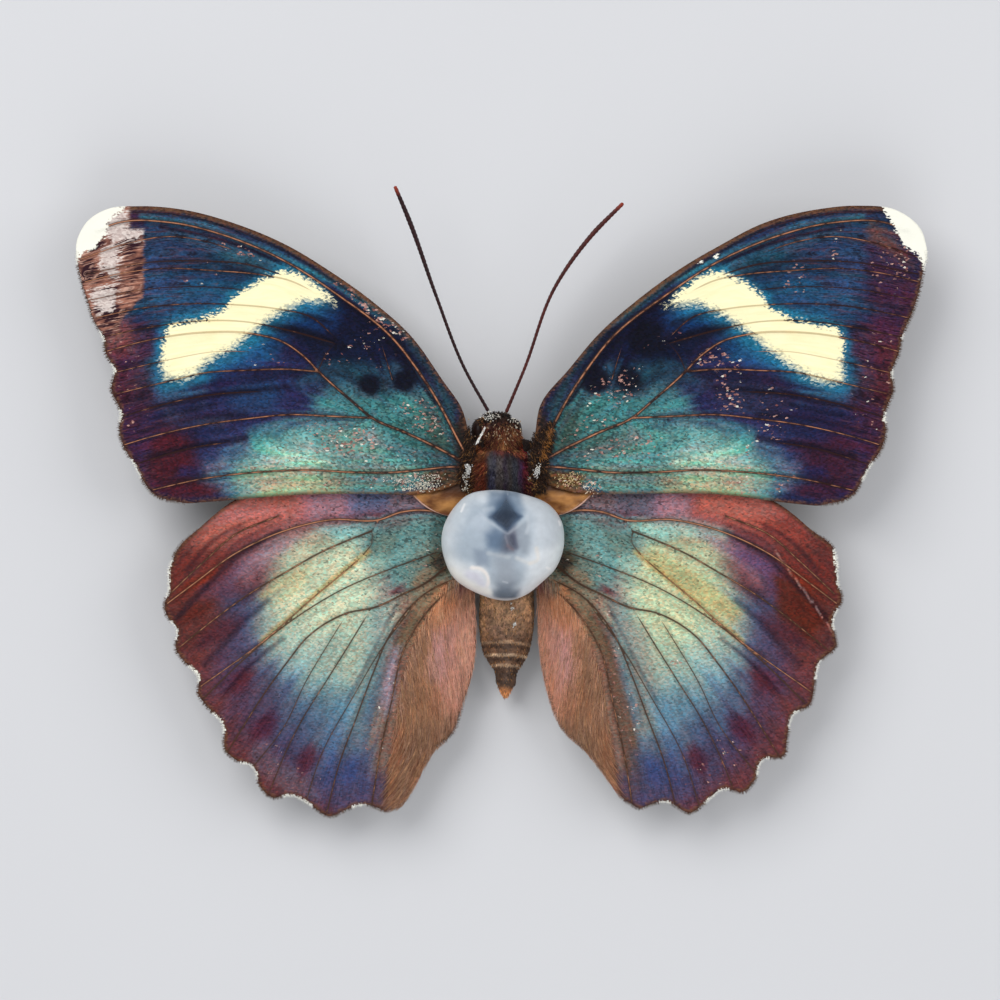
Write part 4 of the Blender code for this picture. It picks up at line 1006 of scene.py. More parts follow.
def wingUpper(wing):
    # speck: how far each scale differs from the next, streaks: how far the margin is streaked
    speck, streaks, veinTint = wingLooks[wing].values()
    finish = Finish(wing + "_scales", Roughness=0.6, SpecularIORLevel=0.08)
    mix, clamp = finish.mix, finish.clamp
    bandEdge, whiteEdge, edge = finish.parts(finish.field("marks"))
    u, v, worn = finish.parts(finish.field("flow"))
    gap, half, tone = finish.parts(finish.field("lines"))
    flecks, paleEdge, soft = finish.parts(finish.field("wear"))
    paint = finish.field("paint")
    place = finish.place()
    long = finish.scaled(place, (0.62, 1, 0))
    chance, second, third = finish.cells(long, 7.5)
    pick, paler, kind = finish.cells(long, 7.0)
    brush = finish.rowNoise(u * 0.45, v * 9.0, 0.0, 3.0)
    fine = finish.rowNoise(u, v * 24.0, 3.0, 2.0)
    cloud = finish.noise(place, 0.4, 3.0, 0.55)
    mottle = finish.noise(long, 2.2, 2.0, 0.5)

    # each scale is a little lighter or darker than the next, and its hue shifts too
    shade = 0.61 + (chance - 0.5) * (speck * 2.1) + brush * 0.42 + fine * 0.38
    hue = mix(0.5 + (third - 0.5) * (speck * 2.6), (0.7, 1.07, 1.16, 1), (1.34, 0.93, 0.84, 1))
    colour = mix(1.0, finish.dimmed(paint, shade), hue, "MULTIPLY")
    rootward = clamp(1.5 - u * 0.075)
    dark = clamp((second + (mottle - 0.5) - (1.0 - speck * rootward)) * 9.0)
    colour = mix(dark * 0.75, colour, mix(0.75, paint, (14, 18, 22)))
    margin = clamp(u * 0.16 - 4.2)
    brown = clamp((brush - 0.5) * 5.0) * margin * (0.5 * streaks)
    black = clamp((0.48 - fine) * 8.0) * margin * (0.75 * streaks)
    fawn = clamp((fine - 0.6) * 9.0) * margin * (0.35 * streaks)
    for share, tint in ((brown, (84, 34, 34)), (black, (20, 10, 20)), (fawn, (132, 84, 66))):
        colour = mix(share, colour, tint)

    # rubbed places show pinkish brown and white flecks and scratches along the veins
    bare = clamp((pick + (mottle - 0.5) * 1.3 + (fine - 0.5) * 0.6 - (1.2 - flecks * 0.52)) * 12.0)
    bare = bare * clamp(flecks * 6.0)
    bareTint = mix(paler, (122, 66, 60), (206, 160, 146))
    bareTint = mix(clamp((kind - 0.84) * 20.0), bareTint, (236, 230, 214))
    colour = mix(bare * 0.8, colour, bareTint)
    rubbed = clamp((fine + (cloud - 0.5) * 0.6 + flecks * 0.16 - 0.84) * 8.0)
    colour = mix(rubbed * 0.42, colour, (150, 94, 96))

    # dark brown rim
    rim = clamp(1.4 - edge * 3.4 + (chance - 0.5) * 0.8)
    colour = mix(rim * 0.8, colour, mix(chance, (52, 30, 24), (104, 70, 48)))

    # the worn tip: bare brown membrane in slanting streaks with grey patches
    red = clamp((brush + (cloud - 0.5) * 0.8 - 0.45) * 6.0)
    tip = mix(red, (48, 24, 32), (158, 106, 88))
    tip = mix(clamp((fine - 0.54) * 9.0) * 0.8, tip, (214, 168, 148))
    pale = paleEdge + (brush - 0.5) * 2.6 + (fine - 0.5) * 2.6 + (chance - 0.5) * 0.3
    pale = clamp(pale * 4.0 + 0.5)
    tip = mix(pale * 0.9, tip, mix(chance, (184, 166, 160), (226, 214, 206)))
    colour = mix(worn, colour, tip)

    ragged = (chance - 0.5) * 0.6 + (brush - 0.5) * 0.8 + (fine - 0.5) * 0.6 - 0.08
    cream = clamp((bandEdge + ragged) * (3.4 - soft * 2.2) + 0.5)
    creamTint = mix(brush * 1.3 - 0.2, (248, 232, 180), (255, 250, 210))
    colour = mix(cream, colour, creamTint)
    white = clamp((whiteEdge + (chance - 0.5) * 0.35 + (brush - 0.5) * 0.5) * 9.0 + 0.5)
    colour = mix(white, colour, (242, 240, 226))

    # veins and folds, with painted shade beside them and a copper core that is partly the veins' own colour
    # and partly painted highlight
    shadow = clamp(1.0 - gap * 2.6) * clamp(half * 14.0) * (1.0 - cream) * (1.0 - white)
    colour = mix(shadow * 0.5, colour, (16, 12, 20))
    core = clamp(1.25 - gap / (half + 0.01) * 1.7)
    copperAndGlint = tone * 1.3 - 0.4 + worn * 0.7 + (fine - 0.5) * 2.0 + (cloud - 0.5) * 2.4 + (mottle - 0.5) * 2.6
    copperAndGlint = clamp(copperAndGlint) * core
    lineTint = mix(copperAndGlint, veinTint, (192, 130, 96))
    lineTint = mix(cream * 0.6, lineTint, (186, 148, 84))
    line = clamp((half * 1.3 - gap) * 16.0 + 0.5) * clamp(half * 40.0)
    line = line * (1.0 - white) * (1.0 - cream * 0.35)
    colour = mix(line * 0.9, colour, lineTint)
    relief = chance * 0.5 + brush * 0.6 + mottle * 0.5
    finish.feed(BaseColor=colour, Roughness=0.62 - 0.22 * line, Normal=finish.bump(relief, 0.00003, 0.5))
    return finish


def wingUnder(name):
    finish = Finish(name, Roughness=0.6, SpecularIORLevel=0.1)
    mix, clamp = finish.mix, finish.clamp
    edge = finish.parts(finish.field("marks"))[2]
    u, v = finish.parts(finish.field("flow"))[:2]
    gap, half = finish.parts(finish.field("lines"))[:2]
    place = finish.place()
    chance = finish.cells(place, 8.0)[0]
    cloud = finish.noise(place, 0.12, 2.0)
    brush = finish.rowNoise(u * 0.3, v * 4.0, 0.0, 3.0)
    olive = mix(cloud, (112, 104, 66), (150, 128, 92))
    outer = clamp(u * 0.06 - 1.0)
    colour = mix(outer * 0.7, olive, (104, 76, 62))
    colour = mix(0.55 - chance * 0.35 + (brush - 0.5) * 0.4, colour, (70, 62, 46))
    rim = clamp(1.2 - edge * 1.6)
    colour = mix(rim * 0.7, colour, (66, 46, 34))
    line = clamp((half * 1.4 - gap) * 14.0 + 0.5)
    colour = mix(line * 0.8, colour, (84, 58, 38))
    finish.feed(BaseColor=colour, Normal=finish.bump(chance + brush, 0.00003, 0.4))
    return finish


# Hairs: closed tapering spikes with one bend, joined in one mesh

def growHairs(name, finish, roots, ways, bends, lengths, radius, tints):
    count = len(roots)
    ways = unit(ways)
    side = unit(np.cross(ways, dice.normal(size=(count, 3))))
    other = np.cross(ways, side)
    middle = roots + ways * (0.5 * lengths)[:, None]
    tip = middle + unit(ways + bends) * (0.5 * lengths)[:, None]
    rings = []
    for centre, share in ((roots, 1.0), (middle, 0.75)):
        for turn in range(3):
            angle = 2 * math.pi * turn / 3
            rings.append(centre + radius * share * (math.cos(angle) * side + math.sin(angle) * other))
    places = np.stack(rings + [tip], axis=1).reshape(-1, 3)
    pattern = [(0, 2, 1)]
    for i in range(3):
        j = (i + 1) % 3
        pattern += [(i, j, 3 + j), (i, 3 + j, 3 + i), (3 + i, 3 + j, 6)]
    triangles = (np.array(pattern)[None] + 7 * np.arange(count)[:, None, None]).reshape(-1, 3)
    mesh = makeMesh(name, places * mm, triangles)
    addField(mesh, "paint", linear(np.repeat(tints, 7, axis=0)))
    addPiece(name, mesh, [finish])


def hairFinish(name, roughness=0.5):
    finish = Finish(name, Roughness=roughness, SpecularIORLevel=0.35)
    grain = finish.noise(finish.place(), 3.0, 2.0)
    finish.feed(BaseColor=finish.dimmed(finish.field("paint"), 0.75 + grain * 0.5))
    return finish


fringe = {
    "perPoint": 5, "from": 0.3, "inset": 0.34, "radius": 0.035, "shortest": 0.3, "longest": 0.5,
    "brown": (92, 66, 50), "white": (246, 244, 234),
}


def growFringe(name, side, outer, fringed, isFore, height, specks, finish):
    # short scales along the scalloped margin, white in its notches
    sign = -1 if side == "left" else 1
    perPoint = fringe["perPoint"]
    base = np.repeat(outer, perPoint, axis=0)
    ahead = np.repeat(np.roll(outer, -1, axis=0), perPoint, axis=0)
    share = np.tile(np.arange(perPoint) / perPoint, len(outer))[:, None]
    along = ahead - base
    base = base + share * along
    along = unit(along)
    outward = columns(along[:, 1], -along[:, 0])
    keep = np.repeat(fringed, perPoint) > fringe["from"]
    base, along, outward = base[keep], along[keep], outward[keep]
    count = len(base)
    lean = dice.normal(0, 0.25, count)[:, None]
    flatWays = outward + lean * along
    flatRoots = base - outward * fringe["inset"]
    z = height(flatRoots[:, 0], flatRoots[:, 1]) + dice.uniform(-0.04, 0.05, count)
    lengths = dice.uniform(fringe["shortest"], fringe["longest"], count)
    whiteness = np.full(count, -9.0)
    for stroke, halfWidth in specks[side]:
        whiteness = np.maximum(whiteness, halfWidth + 0.12 - lineDistance(base, stroke))
    brown = np.array(fringe["brown"]) + dice.normal(0, 12, (count, 1)) + dice.normal(0, 4, (count, 3))
    if isFore:
        whiteness = np.maximum(whiteness, depthInside(base, whiteTip[side]) + 0.3)
    tints = np.where((whiteness > 0)[:, None], np.array(fringe["white"]), brown)
    roots = columns(flatRoots[:, 0] * sign, flatRoots[:, 1], z)
    ways = columns(flatWays[:, 0] * sign, flatWays[:, 1], dice.normal(0, 0.12, count))
    bends = dice.normal(0, 0.12, (count, 3))
    growHairs(name, finish, roots, ways, bends, lengths, fringe["radius"], tints)


def makeWings():
    under = wingUnder("wing_underside")
    wings = (
        ("forewing", forewingLines, forewingFolds, forewingPaint, forewingHeight, forewingSpecks),
        ("hindwing", hindwingLines, hindwingFolds, hindwingPaint, hindwingHeight, hindwingSpecks),
    )
    uppers = {wing: wingUpper(wing) for wing in wingLooks}
    fringeFinish = hairFinish("fringe_scales", 0.6)
    for side in ("left", "right"):
        for wing, lines, folds, paint, height, specks in wings:
            isFore = wing == "forewing"
            name = wing + "_" + side
            finishes = [uppers[wing], under]
            outer, fringed = makeWing(name, side, lines, folds, paint, height, specks, finishes, isFore)
            name = wing + "_fringe_" + side
            growFringe(name, side, outer, fringed, isFore, height, specks, fringeFinish)
    print("wings made")


# Body

weldReach = 0.02  # millimetres


def refined(node, levels):
    # a smooth, dense copy of a CAD node's surface, in millimetres
    places, triangles = nodeMesh(node)
    mesh = makeMesh(node + "_dense", places, triangles)
    bm = bmesh.new()
    bm.from_mesh(mesh)
    bmesh.ops.remove_doubles(bm, verts=bm.verts, dist=weldReach)
    bmesh.ops.join_triangles(bm, faces=bm.faces, angle_face_threshold=0.9, angle_shape_threshold=0.9)
    bm.to_mesh(mesh)
    bm.free()
    shell = bpy.data.objects.new(node + "_dense", mesh)
    bpy.context.scene.collection.objects.link(shell)
    finer = shell.modifiers.new("finer", "SUBSURF")
    finer.levels = levels
    finer.render_levels = levels
    dense = bpy.data.meshes.new_from_object(shell.evaluated_get(bpy.context.evaluated_depsgraph_get()))
    bpy.data.objects.remove(shell)
    bpy.data.meshes.remove(mesh)
    dense.name = node + "_surface"
    return dense


def meshArrays(mesh):
    places = np.empty(len(mesh.vertices) * 3, dtype=np.float32)
    mesh.vertices.foreach_get("co", places)
    normals = np.empty(len(mesh.vertices) * 3, dtype=np.float32)
    mesh.vertices.foreach_get("normal", normals)
    return places.reshape(-1, 3).astype(float), normals.reshape(-1, 3).astype(float)


def reshape(mesh, places):
    # writes the places, given in millimetres, to the mesh and shades it smooth
    mesh.vertices.foreach_set("co", (places * mm).astype(np.float32).ravel())
    mesh.update()
    for polygon in mesh.polygons:
        polygon.use_smooth = True


def scatter(mesh, count):
    # random places on a mesh and the surface normals there
    mesh.calc_loop_triangles()
    triangles = np.empty(len(mesh.loop_triangles) * 3, dtype=np.int32)
    mesh.loop_triangles.foreach_get("vertices", triangles)
    triangles = triangles.reshape(-1, 3)
    places, normals = meshArrays(mesh)
    a, b, c = (places[triangles[:, i]] for i in range(3))
    areas = np.linalg.norm(np.cross(b - a, c - a), axis=1)
    chosen = dice.choice(len(triangles), count, p=areas / areas.sum())
    r, s = dice.random((2, count))
    flip = r + s > 1
    r = np.where(flip, 1 - r, r)[:, None]
    s = np.where(flip, 1 - s, s)[:, None]
    found = a[chosen] + r * (b - a)[chosen] + s * (c - a)[chosen]
    return found, unit(normals[triangles[chosen]].mean(axis=1))


ringEdges = [(-13.35, 0.5), (-14.55, 0.85), (-15.55, 0.75)]  # where y, and how strong
backStripes = [  # centre, half width, colour
    (-0.95, 0.3, (32, 36, 66)), (-0.25, 0.34, (66, 58, 54)), (0.35, 0.14, (42, 26, 52)),
    (0.75, 0.2, (68, 62, 56)), (1.2, 0.26, (28, 34, 46)), (1.75, 0.18, (58, 32, 72)),
]


def bodyTint(places):
    # brown fur with reddish flanks, and dark lengthwise stripes on the back
    x, y = places[:, :2].T
    grain = softNoise(x * 2.4, y * 0.9, 21)
    patch = softNoise(x * 1.1, y * 0.9, 23)
    wander = 0.26 * softNoise(x * 1.3, y * 1.6, 25)
    tawny = ease(-0.1, 0.5, patch) * ease(3.8, 4.8, y) * ease(7.4, 6.6, y)
    shoulder = ease(1.2, 1.7, x) * ease(2.6, 2.2, x) * ease(4.9, 5.3, y) * ease(6.2, 5.8, y)
    left = ease(-2.6, -2, x + wander) * ease(-1.05, -1.6, x + wander) * ease(5.4, 4.6, y)
    right = ease(1.75, 2.0, x + wander) * ease(2.6, 2.3, x + wander) * ease(5.4, 4.9, y)
    middle = np.abs(x - 0.12 + wander)
    layers = [
        (ease(3.6, 5, y + 3 * wander) * 0.85, (112, 56, 38)),
        (tawny * 0.7, (156, 108, 68)),
        (ease(0.3, -0.4, patch) * ease(4.4, 5.4, y) * 0.55, (72, 30, 26)),
        (shoulder * 0.8, (148, 44, 38)),
        (ease(6.9, 7.6, y) * 0.85, (44, 28, 22)),
        (left * 0.85, (104, 46, 28)),
        (left * ease(3.6, 4.6, y) * 0.5, (146, 104, 62)),
        (right * 0.85, (108, 30, 46)),
        (right * ease(2.9, 2.1, y) * 0.7, (58, 22, 24)),
        (ease(1.75, 1.1, middle) * ease(5.1, 4.1, y + 3 * wander), (40, 30, 34)),
    ]
    for centre, half, tint in backStripes:
        stripe = ease(half + 0.16, half - 0.1, np.abs(x - centre + wander)) * ease(4.6, 3.4, y)
        layers.append((stripe * (0.6 + 0.25 * grain), tint))
    collar = ease(0.9, 0.6, np.abs(x)) * ease(0.5, 0.1, np.abs(y - 4.6))
    layers.append((collar * 0.6, (70, 26, 34)))
    colours = layered(plain((36, 21, 15), len(places)), layers)
    return np.clip(colours * (1 + 0.4 * grain + 0.25 * patch)[:, None], 0, 255)


def abdomenTint(places):
    # mottled brown with pale ring edges and an orange tip
    x, y = places[:, :2].T
    grain = softNoise(x * 2.5, y * 2.5, 41)
    patch = softNoise(x * 0.9, y * 0.7, 43)
    speckle = softNoise(x * 5.5, y * 5.5, 45)
    layers = [
        (ease(-0.1, 0.5, patch) * 0.7, (180, 136, 98)),
        (ease(0, -0.5, patch) * 0.6, (98, 74, 62)),
        (ease(0.1, 0.5, speckle) * 0.4, (80, 66, 40)),
        (ease(-0.1, -0.5, speckle) * 0.4, (176, 126, 104)),
        (ease(-12.2, -13.4, y) * 0.75, (92, 62, 42)),
    ]
    for ring, strength in ringEdges:
        bow = ring - 0.04 * x**2 + 0.05 * grain
        layers.append((ease(0.2, 0.08, np.abs(y - bow)) * strength, (190, 160, 130)))
        layers.append((ease(0.34, 0.12, np.abs(y - bow + 0.35)) * 0.6, (58, 38, 26)))
    layers.append((ease(-15.6, -16.4, y) * 0.8, (74, 52, 38)))
    layers.append((ease(-17.4, -18.1, y), (206, 134, 80)))
    colours = layered(plain((144, 108, 78), len(places)), layers)
    return np.clip(colours * (1 + 0.35 * grain)[:, None], 0, 255)


def makeBody(finish):
    tints = {"thorax": bodyTint, "head": bodyTint, "abdomen": abdomenTint}
    for node, tint in tints.items():
        mesh = refined(node, 2)
        places, normals = meshArrays(mesh)
        x, y, z = places.T
        bumps = 0.05 * softNoise(x * 2.2, (y + z) * 2.2, 31)
        places += normals * bumps[:, None]
        places[:, 2] = np.maximum(places[:, 2], 0.0)
        reshape(mesh, places)
        addField(mesh, "paint", linear(tint(places)))
        addPiece(node + "_dressed", mesh, [finish], [node])
    print("body made")


def chitinFinish():
    finish = Finish("scaled_chitin", Roughness=0.5, SpecularIORLevel=0.4)
    place = finish.place()
    chance = finish.cells(place, 6.0, "3D")[0]
    grain = finish.noise(place, 4.0, 3.0)
    colour = finish.dimmed(finish.field("paint"), 0.6 + chance * 0.5 + grain * 0.3)
    finish.feed(BaseColor=colour, Roughness=0.35 + grain * 0.35)
    finish.feed(Normal=finish.bump(chance + grain, 0.00006, 0.7))
    return finish


furCoat = {  # how many hairs, and the radius of one
    "thorax": (16000, 0.028), "collar": (7600, 0.026), "tuft": (4200, 0.03), "head": (5200, 0.03),
    "cheek": (1500, 0.035), "streak": (70, 0.045), "abdomen": (8000, 0.03),
}
tuftTries = 20000
tufts = {
    "left": [(2.6, 0.9), (3.7, 1.1), (4.1, 2.4), (3.7, 4.4), (3.3, 6.2), (3.1, 7), (2.8, 6.4), (2.5, 5),
        (2.3, 3)],
    "right": [(2.6, 0.5), (4, 0.8), (4.3, 2.4), (4.3, 4), (4.9, 5.6), (5, 7.4), (4.4, 7.6), (3.5, 6.4),
        (2.9, 6.4), (2.5, 5), (2.3, 3)],
}
brightRadius = 0.05
glintsAndPaleScales = [  # centre, spread, count, colour; the white clusters at the wing roots, over the forewing bases and on the abdomen are painted glints
    ((-3.15, 2.9, 6.2), (0.13, 0.26), 90, (255, 253, 248)),
    ((-3.45, 2, 6), (0.12, 0.4), 36, (250, 244, 232)),
    ((-3.4, 1.1, 6), (0.14, 0.3), 20, (246, 236, 216)),
    ((3.3, 2.6, 6.2), (0.13, 0.2), 60, (255, 253, 248)),
    ((3.4, 3.1, 6.1), (0.1, 0.2), 16, (250, 244, 232)),
    ((2.5, 2, 5.7), (0.1, 0.2), 10, (250, 244, 232)),
    ((-1.3, 7.85, 6.4), (0.3, 0.26), 40, (248, 244, 234)),
    ((-0.6, 7.9, 6.3), (0.3, 0.14), 16, (236, 228, 214)),
    ((0.9, 7.5, 6.3), (0.4, 0.12), 12, (236, 228, 214)),
    ((1.5, 7, 6.1), (0.2, 0.3), 12, (236, 226, 206)),
    ((2.9, 1.3, 5.7), (0.35, 0.5), 60, (196, 148, 84)),
    ((-2.9, 1.2, 5.7), (0.35, 0.5), 60, (190, 140, 78)),
    ((0, 6, 6.7), (1.2, 0.7), 60, (206, 176, 140)),
    ((-7.4, 1.4, 5.9), (0.8, 0.26), 150, (255, 250, 230)),
    ((-9.6, 1.8, 5.95), (0.8, 0.14), 60, (252, 240, 226)),
    ((-6.6, 2.2, 5.95), (0.6, 0.12), 40, (255, 246, 226)),
    ((-8.6, 1.05, 5.9), (0.5, 0.08), 36, (255, 250, 232)),
    ((6.4, 1.9, 5.9), (0.6, 0.34), 90, (255, 226, 170)),
    ((8.4, 1.2, 5.9), (0.5, 0.3), 40, (250, 226, 196)),
    ((1.15, -11.7, 5.15), (0.1, 0.1), 20, (255, 255, 250)),
    ((0.9, -10.1, 5.4), (0.06, 0.2), 14, (250, 246, 238)),
]


def dyed(tints, chosen, colour):
    # the chosen hairs in another colour
    return np.where(chosen[:, None], np.array(colour), tints)


def shades(colour, count, low, high):
    # one colour, darker or lighter from hair to hair
    return plain(colour, count) * dice.uniform(low, high, (count, 1))


def makeThoraxFur(finish):
    # longer at the flanks and over the roots of the wings
    count, radius = furCoat["thorax"]
    thorax, ways = scatter(refined("thorax", 1), count)
    keep = thorax[:, 2] > 0.6
    thorax, ways = thorax[keep], ways[keep]
    count = len(thorax)
    sideway = np.sign(thorax[:, 0] - 0.25)
    flank = ease(1.5, 2.3, np.abs(thorax[:, 0] - 0.25)) * ease(2.2, 3.4, thorax[:, 2])
    lengths = (0.28 + 0.85 * flank) * dice.uniform(0.7, 1.25, count)
    lean = ways * 0.3 + np.array((0, -0.7, 0.12)) + dice.normal(0, 0.2, ways.shape)
    lean += columns(sideway * 0.9, np.zeros(count), np.full(count, 0.5)) * flank[:, None]
    bends = np.array((0, -0.25, -0.1)) + dice.normal(0, 0.15, ways.shape)
    tints = bodyTint(thorax + np.array((0, 0.15, 0)))
    tints = dyed(tints, dice.random(count) < 0.12 * flank, (150, 106, 60))
    tints = tints * dice.uniform(0.7, 1.45, (count, 1))
    growHairs("thorax_fur", finish, thorax, lean, bends, lengths, radius, tints)


def makeCollarFur(finish):
    # longer mottled fur fanning from the back of the head over the neck and shoulders
    count, radius = furCoat["collar"]
    spread = dice.uniform(-1, 1, count)
    y = 7.3 - 3.1 * dice.random(count) ** 0.9
    x = -0.2 + spread * np.interp(y, (4.2, 5.2, 6.2, 7.3), (2.35, 2.2, 1.75, 1.35))
    ceiling = np.interp(y, (4.2, 5, 5.6, 6.2, 7.2), (5.9, 5.5, 5.75, 6.3, 6.3))
    roots = columns(x, y, ceiling - 0.9 * spread**2)
    ways = columns(spread * 0.9, np.full(count, -0.7), np.full(count, 0.3))
    ways += dice.normal(0, 0.26, (count, 3))
    bends = np.array((0, -0.2, -0.3)) + dice.normal(0, 0.16, (count, 3))
    tints = bodyTint(roots + np.array((0, 0.35, 0))) * dice.uniform(0.45, 1.9, (count, 1))
    tints = dyed(tints, dice.random(count) < 0.18, (176, 128, 78))
    lengths = dice.uniform(0.35, 0.85, count)
    growHairs("collar_fur", finish, roots, ways, bends, lengths, radius, tints)


def makeRootTufts(finish):
    # dark tufts at the roots of the forewings
    most, radius = furCoat["tuft"]
    for side, sign in (("left", -1), ("right", 1)):
        tries = columns(dice.uniform(2.3, 5.1, tuftTries), dice.uniform(0.4, 7.6, tuftTries))
        inward = depthInside(tries, tufts[side])
        tries = tries[inward > dice.uniform(-0.1, 0.55, len(tries))][:most]
        count = len(tries)
        out, y = tries.T
        z = forewingHeight(out, y) - 0.15 + 0.35 * dice.random(count)
        roots = columns(sign * out, y, z)
        ways = columns(np.full(count, sign * 0.45), np.full(count, -0.6), np.full(count, 0.3))
        ways += dice.normal(0, 0.3, (count, 3))
        bends = np.array((0, -0.1, -0.35)) + dice.normal(0, 0.15, (count, 3))
        tints = shades((44, 28, 20), count, 0.5, 1.7)
        pick = dice.random(count)
        tints = dyed(tints, pick < 0.1, (150, 104, 56))
        if side == "right":
            amber = (pick > 0.55) & (np.abs(out - 3.9 - 0.24 * (y - 4.4)) < 0.3) & (y > 3.8) & (y < 6.8)
            tints = dyed(tints, amber, (178, 116, 54))
        lengths = dice.uniform(0.3, 0.65, count)
        growHairs("root_tuft_" + side, finish, roots, ways, bends, lengths, radius, tints)


def makeBrightScales(finish):
    # painted glints as white flakes at the wing roots, over the forewing bases and on the abdomen; white
    # scales on the crown, golden ones along the flanks
    for number, (centre, spread, count, tint) in enumerate(glintsAndPaleScales):
        flat = np.array(centre) + dice.normal(0, 1, (count, 3)) * np.array((*spread, 0.08))
        ways = dice.normal(0, 1, (count, 3)) * np.array((1, 1, 0.3))
        bends = dice.normal(0, 0.2, (count, 3))
        tints = shades(tint, count, 0.75, 1.0)
        lengths = dice.uniform(0.1, 0.24, count)
        name = "bright_scales_" + str(number)
        growHairs(name, finish, flat, ways, bends, lengths, brightRadius, tints)


def makeHeadFur(finish):
    count, radius = furCoat["head"]
    head, ways = scatter(refined("head", 1), count)
    lengths = dice.uniform(0.22, 0.45, count)
    lean = ways * 0.6 + np.array((0, -0.3, 0.2)) + dice.normal(0, 0.3, ways.shape)
    bends = dice.normal(0, 0.2, ways.shape)
    tints = bodyTint(head) * dice.uniform(0.6, 1.5, (count, 1))
    tints = dyed(tints, (dice.random(count) < 0.65) & (head[:, 1] > 6.9), (16, 11, 9))
    growHairs("head_fur", finish, head, lean, bends, lengths, radius, tints)


def makeCheekFur(finish, shiny):
    # dark cheeks between the head and the eyes, with a white streak of hairs over the left eye that is a
    # painted highlight
    count, radius = furCoat["cheek"]
    share = dice.random(count)
    outward = dice.random(count)
    sideway = np.where(dice.random(count) < 0.66, -1, 1)
    x = sideway * (1.7 + 1.05 * outward * np.sin(math.pi * share) ** 0.5) + np.where(sideway > 0, 0.25, 0)
    y = np.where(sideway < 0, 5.2 + 2.6 * share, 4.8 + 0.9 * share)
    roots = columns(x, y, 5.9 - 0.9 * outward)
    ways = columns(sideway * 0.5, np.full(count, -0.6), np.full(count, 0.25))
    ways += dice.normal(0, 0.3, (count, 3))
    tints = shades((34, 20, 14), count, 0.5, 1.5)
    tints = dyed(tints, (dice.random(count) < 0.3) & (y > 6.9), (168, 116, 60))
    bends = dice.normal(0, 0.2, (count, 3))
    lengths = dice.uniform(0.25, 0.5, count)
    growHairs("cheek_fur", finish, roots, ways, bends, lengths, radius, tints)

    # the white streak over the left eye is a painted highlight
    count, radius = furCoat["streak"]
    share = dice.random(count)
    roots = columns(-1.55 - 0.75 * share, 6.85 - 1.4 * share, 6.35 - 0.35 * share)
    roots += dice.normal(0, 0.045, (count, 3))
    ways = np.array((-0.45, -0.85, 0.1)) + dice.normal(0, 0.1, (count, 3))
    straight = np.zeros((count, 3))
    lengths = dice.uniform(0.25, 0.4, count)
    tints = plain((255, 252, 246), count)
    growHairs("eye_highlight_streak", shiny, roots, ways, straight, lengths, radius, tints)


def makeAbdomenScales(finish):
    count, radius = furCoat["abdomen"]
    belly, ways = scatter(refined("abdomen", 1), count)
    keep = belly[:, 2] > 0.4
    belly, ways = belly[keep], ways[keep]
    count = len(belly)
    lean = ways * 0.14 + np.array((0, -1, 0)) + dice.normal(0, 0.18, ways.shape)
    bends = dice.normal(0, 0.1, ways.shape)
    tints = abdomenTint(belly) * dice.uniform(0.55, 1.5, (count, 1))
    tints = dyed(tints, dice.random(count) < 0.1, (188, 132, 76))
    lengths = dice.uniform(0.12, 0.28, count)
    growHairs("abdomen_scales", finish, belly, lean, bends, lengths, radius, tints)


def makeFur(finish):
    makeThoraxFur(finish)
    makeCollarFur(finish)
    makeRootTufts(finish)
    shiny = hairFinish("shiny_scales", 0.3)
    makeBrightScales(shiny)
    makeHeadFur(finish)
    makeCheekFur(finish, shiny)
    makeAbdomenScales(finish)
    print("fur made")


foldHairs = {
    "zone": [(2.4, -6.5), (5, -7), (8, -12), (9.7, -17), (10.2, -23), (10.8, -29), (9, -29.4), (6, -25),
        (2.4, -15)],
    "tries": 60000, "count": 8600, "radius": 0.021, "shortest": 0.8, "longest": 2.3, "past": 0.22,
    "brightest": 250,
}


def makeFoldHairs(finish):
    # long soft hairs on the inner fold of each hindwing, lying in strands
    for side, sign in (("left", -1), ("right", 1)):
        outline = outlineOf("hindwing_" + side) * np.array((sign, 1))
        tries = foldHairs["tries"]
        spots = columns(dice.uniform(2.4, 11.5, tries), dice.uniform(-29, -6.5, tries))
        inZone = depthInside(spots, foldHairs["zone"]) > 0.5 * dice.random(tries)
        spots = spots[inZone & insideOf(spots, outline)][:foldHairs["count"]]
        count = len(spots)
        turn = foldStrands(spots)[0]
        lean = unit(columns(turn + dice.normal(0, 0.13, count), -np.ones(count)))
        lengths = dice.uniform(foldHairs["shortest"], foldHairs["longest"], count)
        for _ in range(3):  # a hair that stands out past the wing is halved
            past = depthInside(spots + lean * lengths[:, None], outline) < -foldHairs["past"]
            lengths = np.where(past, 0.5 * lengths, lengths)
        ways = columns(sign * lean[:, 0], lean[:, 1], dice.uniform(0.0, 0.14, count))
        z = hindwingHeight(spots[:, 0], spots[:, 1]) + 0.03
        roots = columns(spots[:, 0] * sign, spots[:, 1], z)
        flow = scaleFlow(spots, hindwingLines + hindwingFolds)
        tints = hindwingPaint(spots, side, flow)[0] * dice.uniform(1.08, 1.65, (count, 1))
        tints = brushed(tints, 0.5 * dice.random(count) ** 2, (226, 198, 178))
        wisp = dice.random(count) < 0.26 * ease(4.5, 8, spots[:, 0]) * ease(-11, -14, spots[:, 1])
        tints = dyed(tints, wisp, (186, 142, 104))
        tints /= np.maximum(tints.max(axis=1, keepdims=True) / foldHairs["brightest"], 1)
        bends = dice.normal(0, 0.06, (count, 3))
        name = "fold_hairs_" + side
        growHairs(name, finish, roots, ways, bends, lengths, foldHairs["radius"], tints)
    print("fold hairs made")


# Antennae

